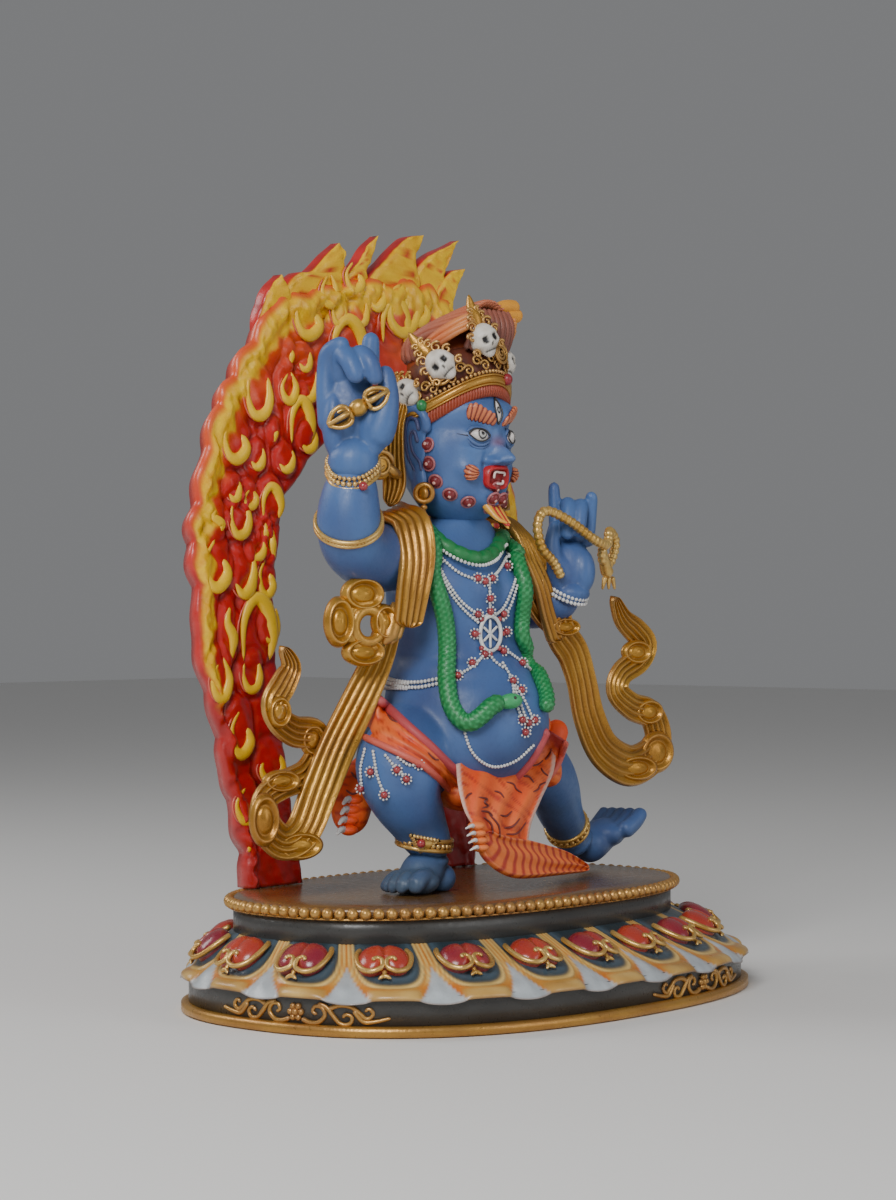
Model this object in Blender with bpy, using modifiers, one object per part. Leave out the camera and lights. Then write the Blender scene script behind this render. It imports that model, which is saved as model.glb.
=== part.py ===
"""A painted cast statue of a wrathful three-eyed guardian with a flame aureole.

The figure lunges on an oval lotus base, one hand raised and one at the chest. Behind it
stands a horseshoe of flames, and two gilt scarves fly out at its sides.
The origin is on the ground under the middle of the base, with the figure facing -Y.
"""
import math

import bmesh
import bpy
import numpy as np
from mathutils import Matrix, Vector

MM = 0.001

# Lotus base
BASE_LENGTH = 277 * MM
BASE_DEPTH = 192 * MM
PLATE_LENGTH = 231.4 * MM
PLATE_DEPTH = 138 * MM
PLATE_SHIFT = 8 * MM
PLATE_TOP = 47 * MM
FOOT_RIM_HEIGHT = 4.5 * MM
FOOT_RIM_STEP = 1.5 * MM
BAND_TOP = 14 * MM
PETAL_TOP = 33 * MM
NECK_INSET = 1.6 * MM
NECK_TOP = 42 * MM
EDGE_STEP = 1 * MM
BEAD_LINE = 45.2 * MM
BEAD_SIZE = 4.6 * MM
BEADS = 114
PETALS = 20
PETAL_STEPS = 5
PETAL_SHARES = (0.0, 0.18, 0.42, 0.6, 0.8, 0.97)
PETAL_BULGE = 4.0 * MM
LIP_DROP = 3.5 * MM
BUD_RISE = 3.2 * MM
OVAL_POWER = 2.4

# Flame aureole
AUREOLE_FACE = 62 * MM
AUREOLE_THICKNESS = 8 * MM
AUREOLE_HEIGHT = 289 * MM
AUREOLE_HALF_WIDTH = 109 * MM
SEAT_GAP = 0.3 * MM
SCALLOP_DEPTH = 2.6 * MM
CURL_RISE = 2.4 * MM
SIDE_SCALLOPS = 19
ARCH_STEPS = 68
CURL_ROWS = 10
CROWN_CURLS = (-0.42, -0.22, 0.0, 0.22, 0.42)

# Figure
FIGURE_HEIGHT = 254 * MM
VOXEL = 1.45 * MM
FIGURE_FACES = 3600

# Scarves
SCARF_THICKNESS = 4.2 * MM
KNOT_GAP = 0.3 * MM
KNOT_HEIGHT = 116 * MM
LEFT_KNOT_DROP = 5 * MM
RIGHT_CUT_EDGE = -57.7 * MM
LEFT_CUT_EDGE = 66 * MM
BOW_REACH = 12.6 * MM
SCARF_STEPS = 60
SCARF_VOXEL = 1.3 * MM
SCARF_FACES = 520

UNIT = FIGURE_HEIGHT / 254
KNOT = KNOT_HEIGHT / UNIT
LEFT_KNOT = (KNOT_HEIGHT - LEFT_KNOT_DROP) / UNIT


def spot(x, y, z):
    """A place on the figure, in its own small units, with z above the plate."""
    return Vector((x * UNIT, y * UNIT, PLATE_TOP + z * UNIT))


def paint(name, colour, roughness, metallic=0.0):
    """A plain painted or gilt finish."""
    mat = bpy.data.materials.new(name)
    mat.use_nodes = True
    shader = mat.node_tree.nodes["Principled BSDF"]
    shader.inputs["Base Color"].default_value = (*colour, 1.0)
    shader.inputs["Roughness"].default_value = roughness
    shader.inputs["Metallic"].default_value = metallic
    mat.diffuse_color = (*colour, 1.0)
    return mat


def clear_scene():
    """Start from an empty scene."""
    for obj in list(bpy.data.objects):
        bpy.data.objects.remove(obj, do_unlink=True)


def new_object(name, mesh, group, mat=None):
    """Put a mesh in a collection as an object of its own."""
    obj = bpy.data.objects.new(name, mesh)
    group.objects.link(obj)
    if mat:
        mesh.materials.append(mat)
    return obj


def baked(obj):
    """The evaluated mesh of an object, in world space, with the object removed."""
    graph = bpy.context.evaluated_depsgraph_get()
    mesh = bpy.data.meshes.new_from_object(obj.evaluated_get(graph))
    mesh.transform(obj.matrix_world)
    bpy.data.objects.remove(obj, do_unlink=True)
    shell = bmesh.new()
    shell.from_mesh(mesh)
    bmesh.ops.remove_doubles(shell, verts=shell.verts, dist=0.00001)
    shell.to_mesh(mesh)
    shell.free()
    return mesh


def smooth_line(points, count):
    """Points on a smooth curve through the given ones, evenly spread by index."""
    pts = np.array([tuple(p) for p in points], float)
    ends = np.vstack([2 * pts[0] - pts[1], pts, 2 * pts[-1] - pts[-2]])
    where = np.linspace(0, len(pts) - 1, count)
    i = np.minimum(where.astype(int), len(pts) - 2)
    t = (where - i)[:, None]
    a, b, c, d = ends[i], ends[i + 1], ends[i + 2], ends[i + 3]
    return 0.5 * (2 * b + (c - a) * t + (2 * a - 5 * b + 4 * c - d) * t**2
                  + (3 * b - a - 3 * c + d) * t**3)


def shell_of(verts, faces):
    """A mesh from rows of points and faces, turned to face outward."""
    mesh = bpy.data.meshes.new("shell")
    mesh.from_pydata([tuple(v) for v in verts], [], faces)
    shell = bmesh.new()
    shell.from_mesh(mesh)
    bmesh.ops.recalc_face_normals(shell, faces=shell.faces)
    shell.to_mesh(mesh)
    shell.free()
    return mesh


def rings_mesh(rings):
    """A closed loft through rings of equal count, capped at both ends."""
    n = len(rings[0])
    verts = np.vstack(rings)
    faces = []
    for k in range(len(rings) - 1):
        for i in range(n):
            j = (i + 1) % n
            faces.append((k * n + i, k * n + j, (k + 1) * n + j, (k + 1) * n + i))
    faces.append(tuple(range(n - 1, -1, -1)))
    last = (len(rings) - 1) * n
    faces.append(tuple(range(last, last + n)))
    return shell_of(verts, faces)


def stitch(lower, upper):
    """Triangles between two closed rings of unlike counts that start at the same side."""
    n, m = len(lower), len(upper)
    faces = []
    i = j = 0
    while i < n or j < m:
        if (i + 1) * m <= (j + 1) * n and i < n:
            faces.append((lower[i % n], lower[(i + 1) % n], upper[j % m]))
            i += 1
        else:
            faces.append((lower[i % n], upper[(j + 1) % m], upper[j % m]))
            j += 1
    return faces


def tube(points, radii, steps=0, sides=2):
    """A round limb or cord: a bevelled curve whose radius changes along it."""
    if steps:
        rows = smooth_line([(*p, r) for p, r in zip(points, radii)], steps)
        points = rows[:, :3]
        radii = rows[:, 3]
    curve = bpy.data.curves.new("tube", "CURVE")
    curve.dimensions = "3D"
    curve.bevel_depth = 1.0
    curve.bevel_resolution = sides
    curve.use_fill_caps = True
    line = curve.splines.new("POLY")
    line.points.add(len(points) - 1)
    for point, place, radius in zip(line.points, points, radii):
        point.co = (*place, 1.0)
        point.radius = max(float(radius), 0.0002)
    obj = bpy.data.objects.new("tube", curve)
    bpy.context.scene.collection.objects.link(obj)
    return baked(obj)


def ball(centre, radii, turn=(0, 0, 0)):
    """An ellipsoid, with its half sizes along its own turned axes."""
    shell = bmesh.new()
    place = (Matrix.Translation(centre)
             @ Matrix.Rotation(math.radians(turn[2]), 4, "Z")
             @ Matrix.Rotation(math.radians(turn[1]), 4, "Y")
             @ Matrix.Rotation(math.radians(turn[0]), 4, "X")
             @ Matrix.Diagonal((*radii, 1)))
    bmesh.ops.create_uvsphere(shell, u_segments=20, v_segments=12, radius=1, matrix=place)
    mesh = bpy.data.meshes.new("ball")
    shell.to_mesh(mesh)
    shell.free()
    return mesh


def limb(*stops):
    """A chain of round joints: each stop is x, y, z and radius in figure units."""
    places = [spot(*s[:3]) for s in stops]
    radii = [s[3] * UNIT for s in stops]
    pieces = [ball(p, (r, r, r)) for p, r in zip(places, radii)]
    pieces.append(tube(places, radii))
    return pieces


def lump(x, y, z, rx, ry, rz, turn=(0, 0, 0)):
    """An ellipsoid placed and sized in figure units."""
    return ball(spot(x, y, z), (rx * UNIT, ry * UNIT, rz * UNIT), turn)


def ribbon(points, widths, facing, thickness, count):
    """A flat band swept along a smooth curve.

    Each station has a width and a direction that its broad side faces. The cross-section
    is a flat lens with raised borders, drawn as ten corners.
    """
    rows = smooth_line([(*p, w) for p, w in zip(points, widths)], count)
    face = smooth_line(facing, count)
    path = rows[:, :3]
    along = np.gradient(path, axis=0)
    along /= np.linalg.norm(along, axis=1)[:, None]
    face -= along * (face * along).sum(1)[:, None]
    face /= np.linalg.norm(face, axis=1)[:, None]
    side = np.cross(along, face)
    across = np.array([-0.5, -0.44, -0.2, 0, 0.2, 0.44, 0.5, 0.38, 0, -0.38])
    up = np.array([0, 0.5, 0.22, 0.4, 0.22, 0.5, 0, -0.5, -0.42, -0.5])
    ends = np.clip(np.minimum(np.arange(count), np.arange(count)[::-1]) / 1.5, 0.55, 1)
    rings = []
    for k in range(count):
        ring = (path[k] + side[k] * across[:, None] * rows[k, 3] * ends[k]
                + face[k] * up[:, None] * thickness)
        rings.append(ring)
    return rings_mesh(rings)


def joined(name, meshes, group, mat):
    """Several meshes laid into one object, still as separate shells."""
    shell = bmesh.new()
    for mesh in meshes:
        shell.from_mesh(mesh)
    mesh = bpy.data.meshes.new(name)
    shell.to_mesh(mesh)
    shell.free()
    return new_object(name, mesh, group, mat)


def fused(name, meshes, group, mat, voxel, faces):
    """Overlapping shells melted into one skin and thinned to a number of faces."""
    obj = joined(name, meshes, group, mat)
    melt = obj.modifiers.new("melt", "REMESH")
    melt.mode = "VOXEL"
    melt.voxel_size = voxel
    soften = obj.modifiers.new("soften", "SMOOTH")
    soften.factor = 0.5
    soften.iterations = 2
    mesh = baked(obj)
    obj = new_object(name, mesh, group)
    mesh.calc_loop_triangles()
    thin = obj.modifiers.new("thin", "DECIMATE")
    thin.ratio = faces / len(mesh.loop_triangles)
    thin.use_collapse_triangulate = True
    return obj


def cut(obj, cutter, operation="DIFFERENCE"):
    """Cut one object with another, exactly."""
    knife = obj.modifiers.new("cut", "BOOLEAN")
    knife.operation = operation
    knife.solver = "EXACT"
    knife.object = cutter


def block(name, low, high, group):
    """A box between two corners, used only to cut with."""
    shell = bmesh.new()
    low, high = Vector(low), Vector(high)
    place = Matrix.Translation((low + high) / 2) @ Matrix.Diagonal((*(high - low), 1))
    bmesh.ops.create_cube(shell, size=1, matrix=place)
    mesh = bpy.data.meshes.new(name)
    shell.to_mesh(mesh)
    shell.free()
    obj = new_object(name, mesh, group)
    obj.hide_render = True
    obj.display_type = "WIRE"
    return obj


def oval(length, depth, shift, z, turns, out=0.0):
    """An oval ring with flattened sides, at the given turns round it, grown by out."""
    a = length / 2 + out
    b = depth / 2 + out
    power = 2 / OVAL_POWER
    c, s = np.cos(turns), np.sin(turns)
    x = a * np.sign(c) * np.abs(c) ** power
    y = b * np.sign(s) * np.abs(s) ** power + shift
    return np.stack([x, y, np.zeros_like(x) + z], 1)


def even_turns(count):
    """Turns round the oval at which equal lengths of its edge begin."""
    fine = np.linspace(0, 2 * np.pi, 4001)
    ring = oval((BASE_LENGTH + PLATE_LENGTH) / 2, (BASE_DEPTH + PLATE_DEPTH) / 2, 0, 0, fine)
    step = np.linalg.norm(np.diff(ring, axis=0), axis=1)
    gone = np.concatenate([[0], np.cumsum(step)])
    return np.interp(np.arange(count) * gone[-1] / count, gone, fine)


def petal_ring(share, turns, across):
    """One ring of the petal slope, from its lip at share 0 to the neck at share 1."""
    neck_length = PLATE_LENGTH - 2 * NECK_INSET
    neck_depth = PLATE_DEPTH - 2 * NECK_INSET
    slope = share ** 1.25
    foot = 2 * FOOT_RIM_STEP
    length = BASE_LENGTH - foot + (neck_length - BASE_LENGTH + foot) * slope
    depth = BASE_DEPTH - foot + (neck_depth - BASE_DEPTH + foot) * slope
    lip = (1 - share) ** 2
    edge = np.abs(across)
    dome = (1 - edge ** 2.5) * math.sin(math.pi * (0.25 + 0.75 * share))
    bud = np.clip(1 - (across / 0.6) ** 2, 0, 1) * max(0.0, 1 - ((share - 0.7) / 0.3) ** 2)
    out = PETAL_BULGE * 0.3 * dome - LIP_DROP * 0.9 * lip * edge ** 2 + BUD_RISE * 0.45 * bud
    ring = oval(length, depth, PLATE_SHIFT * slope, 0, turns, out)
    ring[:, 2] = (BAND_TOP + (PETAL_TOP - BAND_TOP) * share
                  + PETAL_BULGE * 0.6 * dome * (1 - share)
                  + LIP_DROP * lip * edge ** 1.5 + BUD_RISE * bud)
    return ring


def lotus_base(group, mat):
    """The oval base: foot rim, dark band, twenty petals, neck, beads and plate."""
    wide = even_turns(PETALS * PETAL_STEPS)
    across = ((np.arange(len(wide)) % PETAL_STEPS) / (PETAL_STEPS / 2)) - 1
    plain = wide[::2]
    beaded = even_turns(2 * BEADS)
    step = 2 * FOOT_RIM_STEP
    rings = [
        oval(BASE_LENGTH, BASE_DEPTH, 0, 0, plain),
        oval(BASE_LENGTH, BASE_DEPTH, 0, FOOT_RIM_HEIGHT, plain),
        oval(BASE_LENGTH - step, BASE_DEPTH - step, 0, FOOT_RIM_HEIGHT, plain),
        oval(BASE_LENGTH - 2 * step, BASE_DEPTH - 2 * step, 0, BAND_TOP - EDGE_STEP, plain),
    ]
    for share in PETAL_SHARES:
        rings.append(petal_ring(share, wide, across))
    inset = 2 * NECK_INSET
    bump = np.where(np.arange(len(beaded)) % 2, 0.0, BEAD_SIZE * 0.34)
    half = BEAD_SIZE / 4
    rings += [
        oval(PLATE_LENGTH - inset, PLATE_DEPTH - inset, PLATE_SHIFT, PETAL_TOP + EDGE_STEP, plain),
        oval(PLATE_LENGTH - inset, PLATE_DEPTH - inset, PLATE_SHIFT, NECK_TOP, plain),
        oval(PLATE_LENGTH, PLATE_DEPTH, PLATE_SHIFT, BEAD_LINE - half, beaded, bump),
        oval(PLATE_LENGTH, PLATE_DEPTH, PLATE_SHIFT, BEAD_LINE + half, beaded, bump),
        oval(PLATE_LENGTH, PLATE_DEPTH, PLATE_SHIFT, PLATE_TOP, plain, -1.5 * EDGE_STEP),
    ]
    starts = np.concatenate([[0], np.cumsum([len(r) for r in rings])])
    rows = [list(range(starts[k], starts[k + 1])) for k in range(len(rings))]
    faces = [tuple(rows[0][::-1]), tuple(rows[-1])]
    for low, high in zip(rows[:-1], rows[1:]):
        faces += stitch(low, high)
    return new_object("lotus_base", shell_of(np.vstack(rings), faces), group, mat)


def flame_edge():
    """The aureole's outer and inner edges, as x and z above the plate.

    The sides follow a leaf-shaped arch with small rounded scallops. On the crown stand
    long flames that all lean towards +X, each a convex back up to its tip and a hollow
    front down to the next notch.
    """
    tall = AUREOLE_HEIGHT
    wide = AUREOLE_HALF_WIDTH
    arch = [(0.70, 0.0), (0.705, 0.05), (0.79, 0.145), (0.86, 0.255), (0.94, 0.325),
            (0.965, 0.425), (1.0, 0.525), (0.94, 0.625), (0.88, 0.7), (0.73, 0.785), (0.59, 0.855)]
    half = smooth_line([(x * wide, z * tall, 0) for x, z in arch], ARCH_STEPS)[:, :2]
    gone = np.concatenate([[0], np.cumsum(np.linalg.norm(np.diff(half, axis=0), axis=1))])
    along = np.gradient(half, axis=0)
    along /= np.linalg.norm(along, axis=1)[:, None]
    ramp = np.clip(gone / gone[-1] / 0.05, 0, 1)
    lobe = np.abs(np.sin(math.pi * gone / (gone[-1] / SIDE_SCALLOPS)))
    swell = (SCALLOP_DEPTH * (lobe - 0.6) * ramp)[:, None]
    side = half + np.stack([along[:, 1], -along[:, 0]], 1) * swell
    tips = [(-0.50, 0.912), (-0.40, 0.918), (-0.16, 0.972), (0.08, 0.992), (0.367, 1.0),
            (0.594, 1.0), (0.65, 0.95), (0.72, 0.885), (0.77, 0.82)]
    notches = [(-0.46, 0.90), (-0.357, 0.905), (-0.126, 0.925), (0.006, 0.928), (0.295, 0.955),
               (0.49, 0.94), (0.551, 0.89), (0.625, 0.832), (0.70, 0.775)]
    crown = []
    start = np.array((-arch[-1][0], arch[-1][1]))
    for tip, notch in zip(tips, notches):
        tip, notch = np.array(tip), np.array(notch)
        rise = tip - start
        bulge = np.array((-rise[1], rise[0])) * 0.05
        crown += [start + rise * 0.3 + bulge, start + rise * 0.7 + bulge * 0.6, tip]
        crown.append(tip + (notch - tip) * 0.5 + np.array((-0.014, 0.0)))
        crown.append(notch)
        start = notch
    crown = np.array(crown) * (wide, tall)
    outer = np.vstack([side * (-1, 1), crown, side[side[:, 1] < 0.76 * tall][::-1]])
    inside = [(0.376, 0.0), (0.404, 0.035), (0.486, 0.19), (0.54, 0.37), (0.55, 0.425),
              (0.523, 0.515), (0.495, 0.578), (0.43, 0.613), (0.33, 0.65), (0.17, 0.69), (0.0, 0.71)]
    half = smooth_line([(x * wide, z * tall, 0) for x, z in inside], 26)[:, :2]
    inner = np.vstack([half * (-1, 1), half[-2::-1]])
    return outer, inner


def curl(x, z, size, turn, flip, y):
    """One raised comma of flame: a tapered hook that lies on the aureole's face."""
    steps = np.linspace(0, 1, 6)
    bend = 0.2 + 4.4 * steps
    reach = size * (1 - 0.35 * steps)
    px = np.cos(bend) * reach * 0.62 * flip
    pz = np.sin(bend) * reach
    c, s = math.cos(turn), math.sin(turn)
    points = [(x + c * a - s * b, y, z + s * a + c * b) for a, b in zip(px, pz)]
    radii = CURL_RISE * (0.55 + 0.75 * np.sin(np.pi * (0.15 + 0.75 * steps)))
    return tube(points, radii, sides=1)


def between_edges(outer, inner, height, side, weight):
    """A place on the aureole's face at one height, weight 0 inside and 1 outside."""
    half = [e[np.sign(e[:, 0]) == side] for e in (inner, outer)]
    near = [h[np.argmin(np.abs(h[:, 1] - height))] for h in half]
    return near[0] * (1 - weight) + near[1] * weight


def flame_aureole(group, cutters, mat):
    """The upright horseshoe of flames, a thick plate with raised curls on its face."""
    outer, inner = flame_edge()
    seat = PLATE_TOP + SEAT_GAP
    loop = np.vstack([outer, inner[::-1]])
    curve = bpy.data.curves.new("flame_outline", "CURVE")
    curve.dimensions = "2D"
    curve.fill_mode = "BOTH"
    curve.extrude = AUREOLE_THICKNESS / 2
    line = curve.splines.new("POLY")
    line.points.add(len(loop) - 1)
    for point, (x, z) in zip(line.points, loop):
        point.co = (x, z, 0, 1)
    line.use_cyclic_u = True
    flat = bpy.data.objects.new("flame_outline", curve)
    bpy.context.scene.collection.objects.link(flat)
    middle = AUREOLE_FACE + AUREOLE_THICKNESS / 2
    flat.matrix_world = Matrix.Translation((0, middle, seat)) @ Matrix.Rotation(math.pi / 2, 4, "X")
    bpy.context.view_layer.update()
    plate = new_object("flame_aureole", baked(flat), group, mat)
    curls = []
    for side in (-1, 1):
        for k in range(CURL_ROWS):
            height = AUREOLE_HEIGHT * (0.09 + 0.066 * k)
            x, z = between_edges(outer, inner, height, side, 0.62 if k % 2 else 0.36)
            size = (9.5 if k % 3 else 12) * MM
            curls.append(curl(x, seat + z, size, 0.2 * side, side, AUREOLE_FACE))
    for share in CROWN_CURLS:
        z = AUREOLE_HEIGHT * (0.84 - 0.35 * abs(share) ** 2)
        curls.append(curl(share * AUREOLE_HALF_WIDTH, seat + z, 13 * MM, -0.4 * share, 1, AUREOLE_FACE))
    raised = joined("raised_curls", curls, cutters, None)
    raised.hide_render = True
    raised.display_type = "WIRE"
    cut(plate, raised, "UNION")
    plate.modifiers["cut"].use_self = True
    return plate


def right_arm():
    """The raised arm, with its hand open round a small vajra and a finger pointing up."""
    parts = limb((-28, 10, 143, 14), (-50, 9, 139, 14.5), (-73, 5, 147, 13), (-78, 2, 160, 13),
                 (-77, 1, 174, 10), (-77, 1, 180, 10.5))
    parts.append(lump(-78, 1, 194, 13.5, 8, 18))
    parts += limb((-67, 0, 205, 4.4), (-66, -1, 218, 3.6), (-66, -1, 230, 3.0))
    for k in range(3):
        x = -89 + 7.5 * k
        top = 216 + 1.5 * k
        parts += limb((x, 0, 205, 4.6), (x + 1, -2, top, 4.2), (x + 2, -9, top - 3, 3.8),
                      (x + 3, -11, top - 10, 3.5))
    parts += limb((-66, -2, 188, 6.5), (-60, -6, 200, 4.8), (-59, -7, 214, 3.6))
    parts += limb((-90, -10, 196, 2.2), (-78, -12, 199, 4.4), (-66, -12, 203, 2.2))
    return parts


def left_arm():
    """The lowered arm, with its hand held up at the chest and a gilt lasso through it."""
    parts = limb((20, 8, 143, 14), (36, 9, 131, 12), (42, 9, 123, 11.5), (46, -4, 123, 10),
                 (46, -15, 126, 8.8), (46, -18, 130, 9.4))
    parts.append(lump(46, -19, 139, 11.5, 8, 14, (0, 8, 0)))
    parts += limb((38, -19, 148, 4.4), (35, -20, 160, 3.6), (34, -20, 170, 2.9))
    for k in range(3):
        x = 43 + 6.5 * k
        parts += limb((x, -19, 149, 4.2), (x + 2, -20, 158, 3.8), (x + 4, -22, 163 + k, 3.2))
    parts += limb((38, -25, 138, 4.6), (35, -28, 148, 3.8), (34, -27, 156, 3.2))
    loop = [(30, -20, 140), (22, -20, 146), (19, -20, 156), (25, -20, 162), (36, -24, 158),
            (50, -27, 150), (62, -25, 148), (68, -22, 154), (75, -20, 149), (71, -20, 140)]
    parts.append(tube([spot(*p) for p in loop], [2.3 * UNIT] * len(loop), 30))
    tail = [(60, -24, 147), (66, -21, 139), (70, -20, 134)]
    parts.append(tube([spot(*p) for p in tail], [3 * UNIT] * 3, 6))
    return parts


def legs():
    """The bent right leg and the stretched left one, with both feet."""
    parts = limb((-22, 8, 59, 22), (-38, 4, 56, 21), (-50, -1, 50, 18.5), (-43, -2, 33, 14),
                 (-34, -3, 18, 10.5), (-33, -3, 9, 9.5))
    parts += limb((-30, -3, 7, 8.5), (-44, -3, 8, 8), (-54, -3, 5, 6))
    for k in range(5):
        y = -12 + 4.6 * k
        reach = -58 if k < 3 else -60
        parts += limb((-48, y * 0.8, 6, 4.5), (reach, y, 4.5, 3.4), (reach - 4, y, 3.2, 2.6))
    parts += limb((8, 4, 59, 20), (24, -2, 55, 17.5), (42, -5, 49, 13.5), (61, 3, 33, 11), (80, 10, 18, 9))
    parts += limb((82, 11, 14, 9), (90, 11, 9, 8.5), (103, 9, 14, 7.5), (110, 8, 20, 5.5))
    for k in range(5):
        y = -2 + 4.6 * k
        parts += limb((104, y * 0.8 + 1, 17, 4), (113, y, 22, 3), (117, y, 26, 2.4))
    return parts


def torso():
    """The stout body from the hips to the neck."""
    return [
        lump(-7, 5, 61, 33, 31, 24),
        lump(-6, 2, 75, 35, 37, 28),
        lump(-6, 4, 92, 31, 30, 22),
        lump(-5, 7, 107, 28.5, 26.5, 20),
        lump(-4, 8, 124, 32, 26.5, 20),
        lump(-4, 8, 138, 32, 23, 16),
        *limb((-30, 9, 143, 13), (-5, 7, 150, 15), (22, 8, 143, 13)),
        *limb((-5, 5, 150, 15), (-5, 4, 170, 14)),
    ]


def head():
    """The round face with its brows, nose, cheeks, open mouth and long ears."""
    parts = [lump(-6, 6, 186, 24.5, 24.5, 29), lump(-6, 2, 174, 20, 20.5, 17)]
    parts += [lump(-5, -19.5, 184, 4.4, 6, 5), lump(-5, -18, 190, 2.6, 4, 7)]
    parts += [lump(-5, -16, 174.5, 8.5, 6, 5.5)]
    for side in (-1, 1):
        x = -5 + 12 * side
        brow = [spot(-5 + 3 * side, -18.5, 198), spot(x, -17, 204), spot(x + 6 * side, -11, 203)]
        parts.append(tube(brow, [1.6 * UNIT, 2.6 * UNIT, 1.4 * UNIT]))
        parts.append(lump(-5 + 9.5 * side, -15.6, 193, 4.6, 3.4, 3.2))
        parts.append(lump(-5 + 12 * side, -12.5, 180, 7, 5, 6))
        parts.append(tube([spot(-5 + 9 * side, -17, 177), spot(-5 + 15 * side, -13, 178)],
                          [2.4 * UNIT, 3.4 * UNIT]))
        parts.append(lump(-6 + 25 * side, 8, 191, 3.4, 6, 12.5, (10, 0, 0)))
        parts.append(lump(-6 + 25.5 * side, 4, 172, 2.2, 4, 5))
    return parts


def crown():
    """The tilted brow band, five skulls on it and the hair that flames up and forward."""
    parts = []
    ring = []
    for k in range(25):
        turn = 2 * math.pi * k / 24
        c, s = math.cos(turn), math.sin(turn)
        ring.append(spot(-7 + 23 * s, 7 - 22.5 * c, 207 + 7.5 * c))
    parts.append(tube(ring, [3 * UNIT] * len(ring)))
    parts.append(lump(-7, 8, 212, 24, 24, 17, (-14, 0, 0)))
    parts.append(lump(-6, 6, 223, 24, 23, 15, (-14, 0, 0)))
    for k in range(13):
        turn = 2 * math.pi * k / 13 + 0.2
        x, y = math.sin(turn), -math.cos(turn)
        rise = 236 + 11 * math.cos(turn + 0.6)
        parts += limb((-7 + 20 * x, 7 + 19 * y, 217, 6), (-6 + 22 * x, 5 + 21 * y, 229, 5.4),
                      (-4 + 22 * x, 2 + 21 * y, rise, 3.4))
    parts += limb((-7, 6, 228, 17), (-4, 2, 236, 12))
    for turn in (-88, -40, 20, 66, 106):
        a = math.radians(-turn)
        x, y = math.sin(a), -math.cos(a)
        z = 220 + 11 * math.cos(a)
        cx, cy = -7 + 26 * x, 6 + 25 * y
        face = (0, 0, math.degrees(a))
        parts.append(lump(cx, cy, z, 6.4, 5, 7.2, face))
        parts.append(lump(cx, cy - 0.5, z - 5.5, 4.4, 4.2, 4, face))
        parts += limb((cx, cy, z + 6, 4), (cx * 1.03, cy, z + 12, 3.2), (cx * 1.05, cy, z + 17, 1.8))
    for side in (-1, 1):
        x = -6 + 30 * side
        band = [(x, 11, 206), (x + 3 * side, 12, 196), (x + 5 * side, 11, 184), (x + 7 * side, 9, 172)]
        parts.append(tube([spot(*p) for p in band], [4.2 * UNIT, 3 * UNIT, 3.6 * UNIT, 4 * UNIT]))
    parts.append(lump(-55, 6, 180, 8, 3, 7.5))
    parts += limb((-48, 8, 174, 3.6), (-44, 8, 168, 4))
    parts += limb((27, 8, 172, 4), (24, 4, 160, 4))
    return parts


def snake_and_collar():
    """The scaled snake that hangs down both sides of the chest, and the collar."""
    near = [(-32, 4, 157), (-33, -3, 146), (-31, -6, 135), (-30, -8, 119), (-29, -10, 106),
            (-33, -13, 91), (-36, -18, 80), (-34, -22, 72), (-29, -26, 71), (-24, -30, 77),
            (-19, -33, 80), (-14, -35, 79)]
    far = [(16, -1, 155), (19, -10, 144), (17, -13, 132), (12, -14, 118), (11, -15, 106),
           (13, -19, 92), (15.5, -24, 78), (15, -23, 68)]
    collar = [(-30, 2, 153), (-26, -5, 148), (-21, -10, 144), (-12, -14, 142), (-1, -14, 144),
              (10, -8, 151)]
    parts = []
    for line, radius in ((near, 4.2), (far, 3.6), (collar, 3.2)):
        parts.append(tube([spot(*p) for p in line], [radius * UNIT] * len(line), 3 * len(line)))
    parts.append(lump(-15, -35, 79.5, 5, 3.4, 3.6, (0, 0, -25)))
    return parts


def band_on_body(points, widths, facing, thickness, count):
    """A flat band given in figure units."""
    places = [spot(*p) for p in points]
    return ribbon(places, [w * UNIT for w in widths], facing, thickness * UNIT, count)


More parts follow.
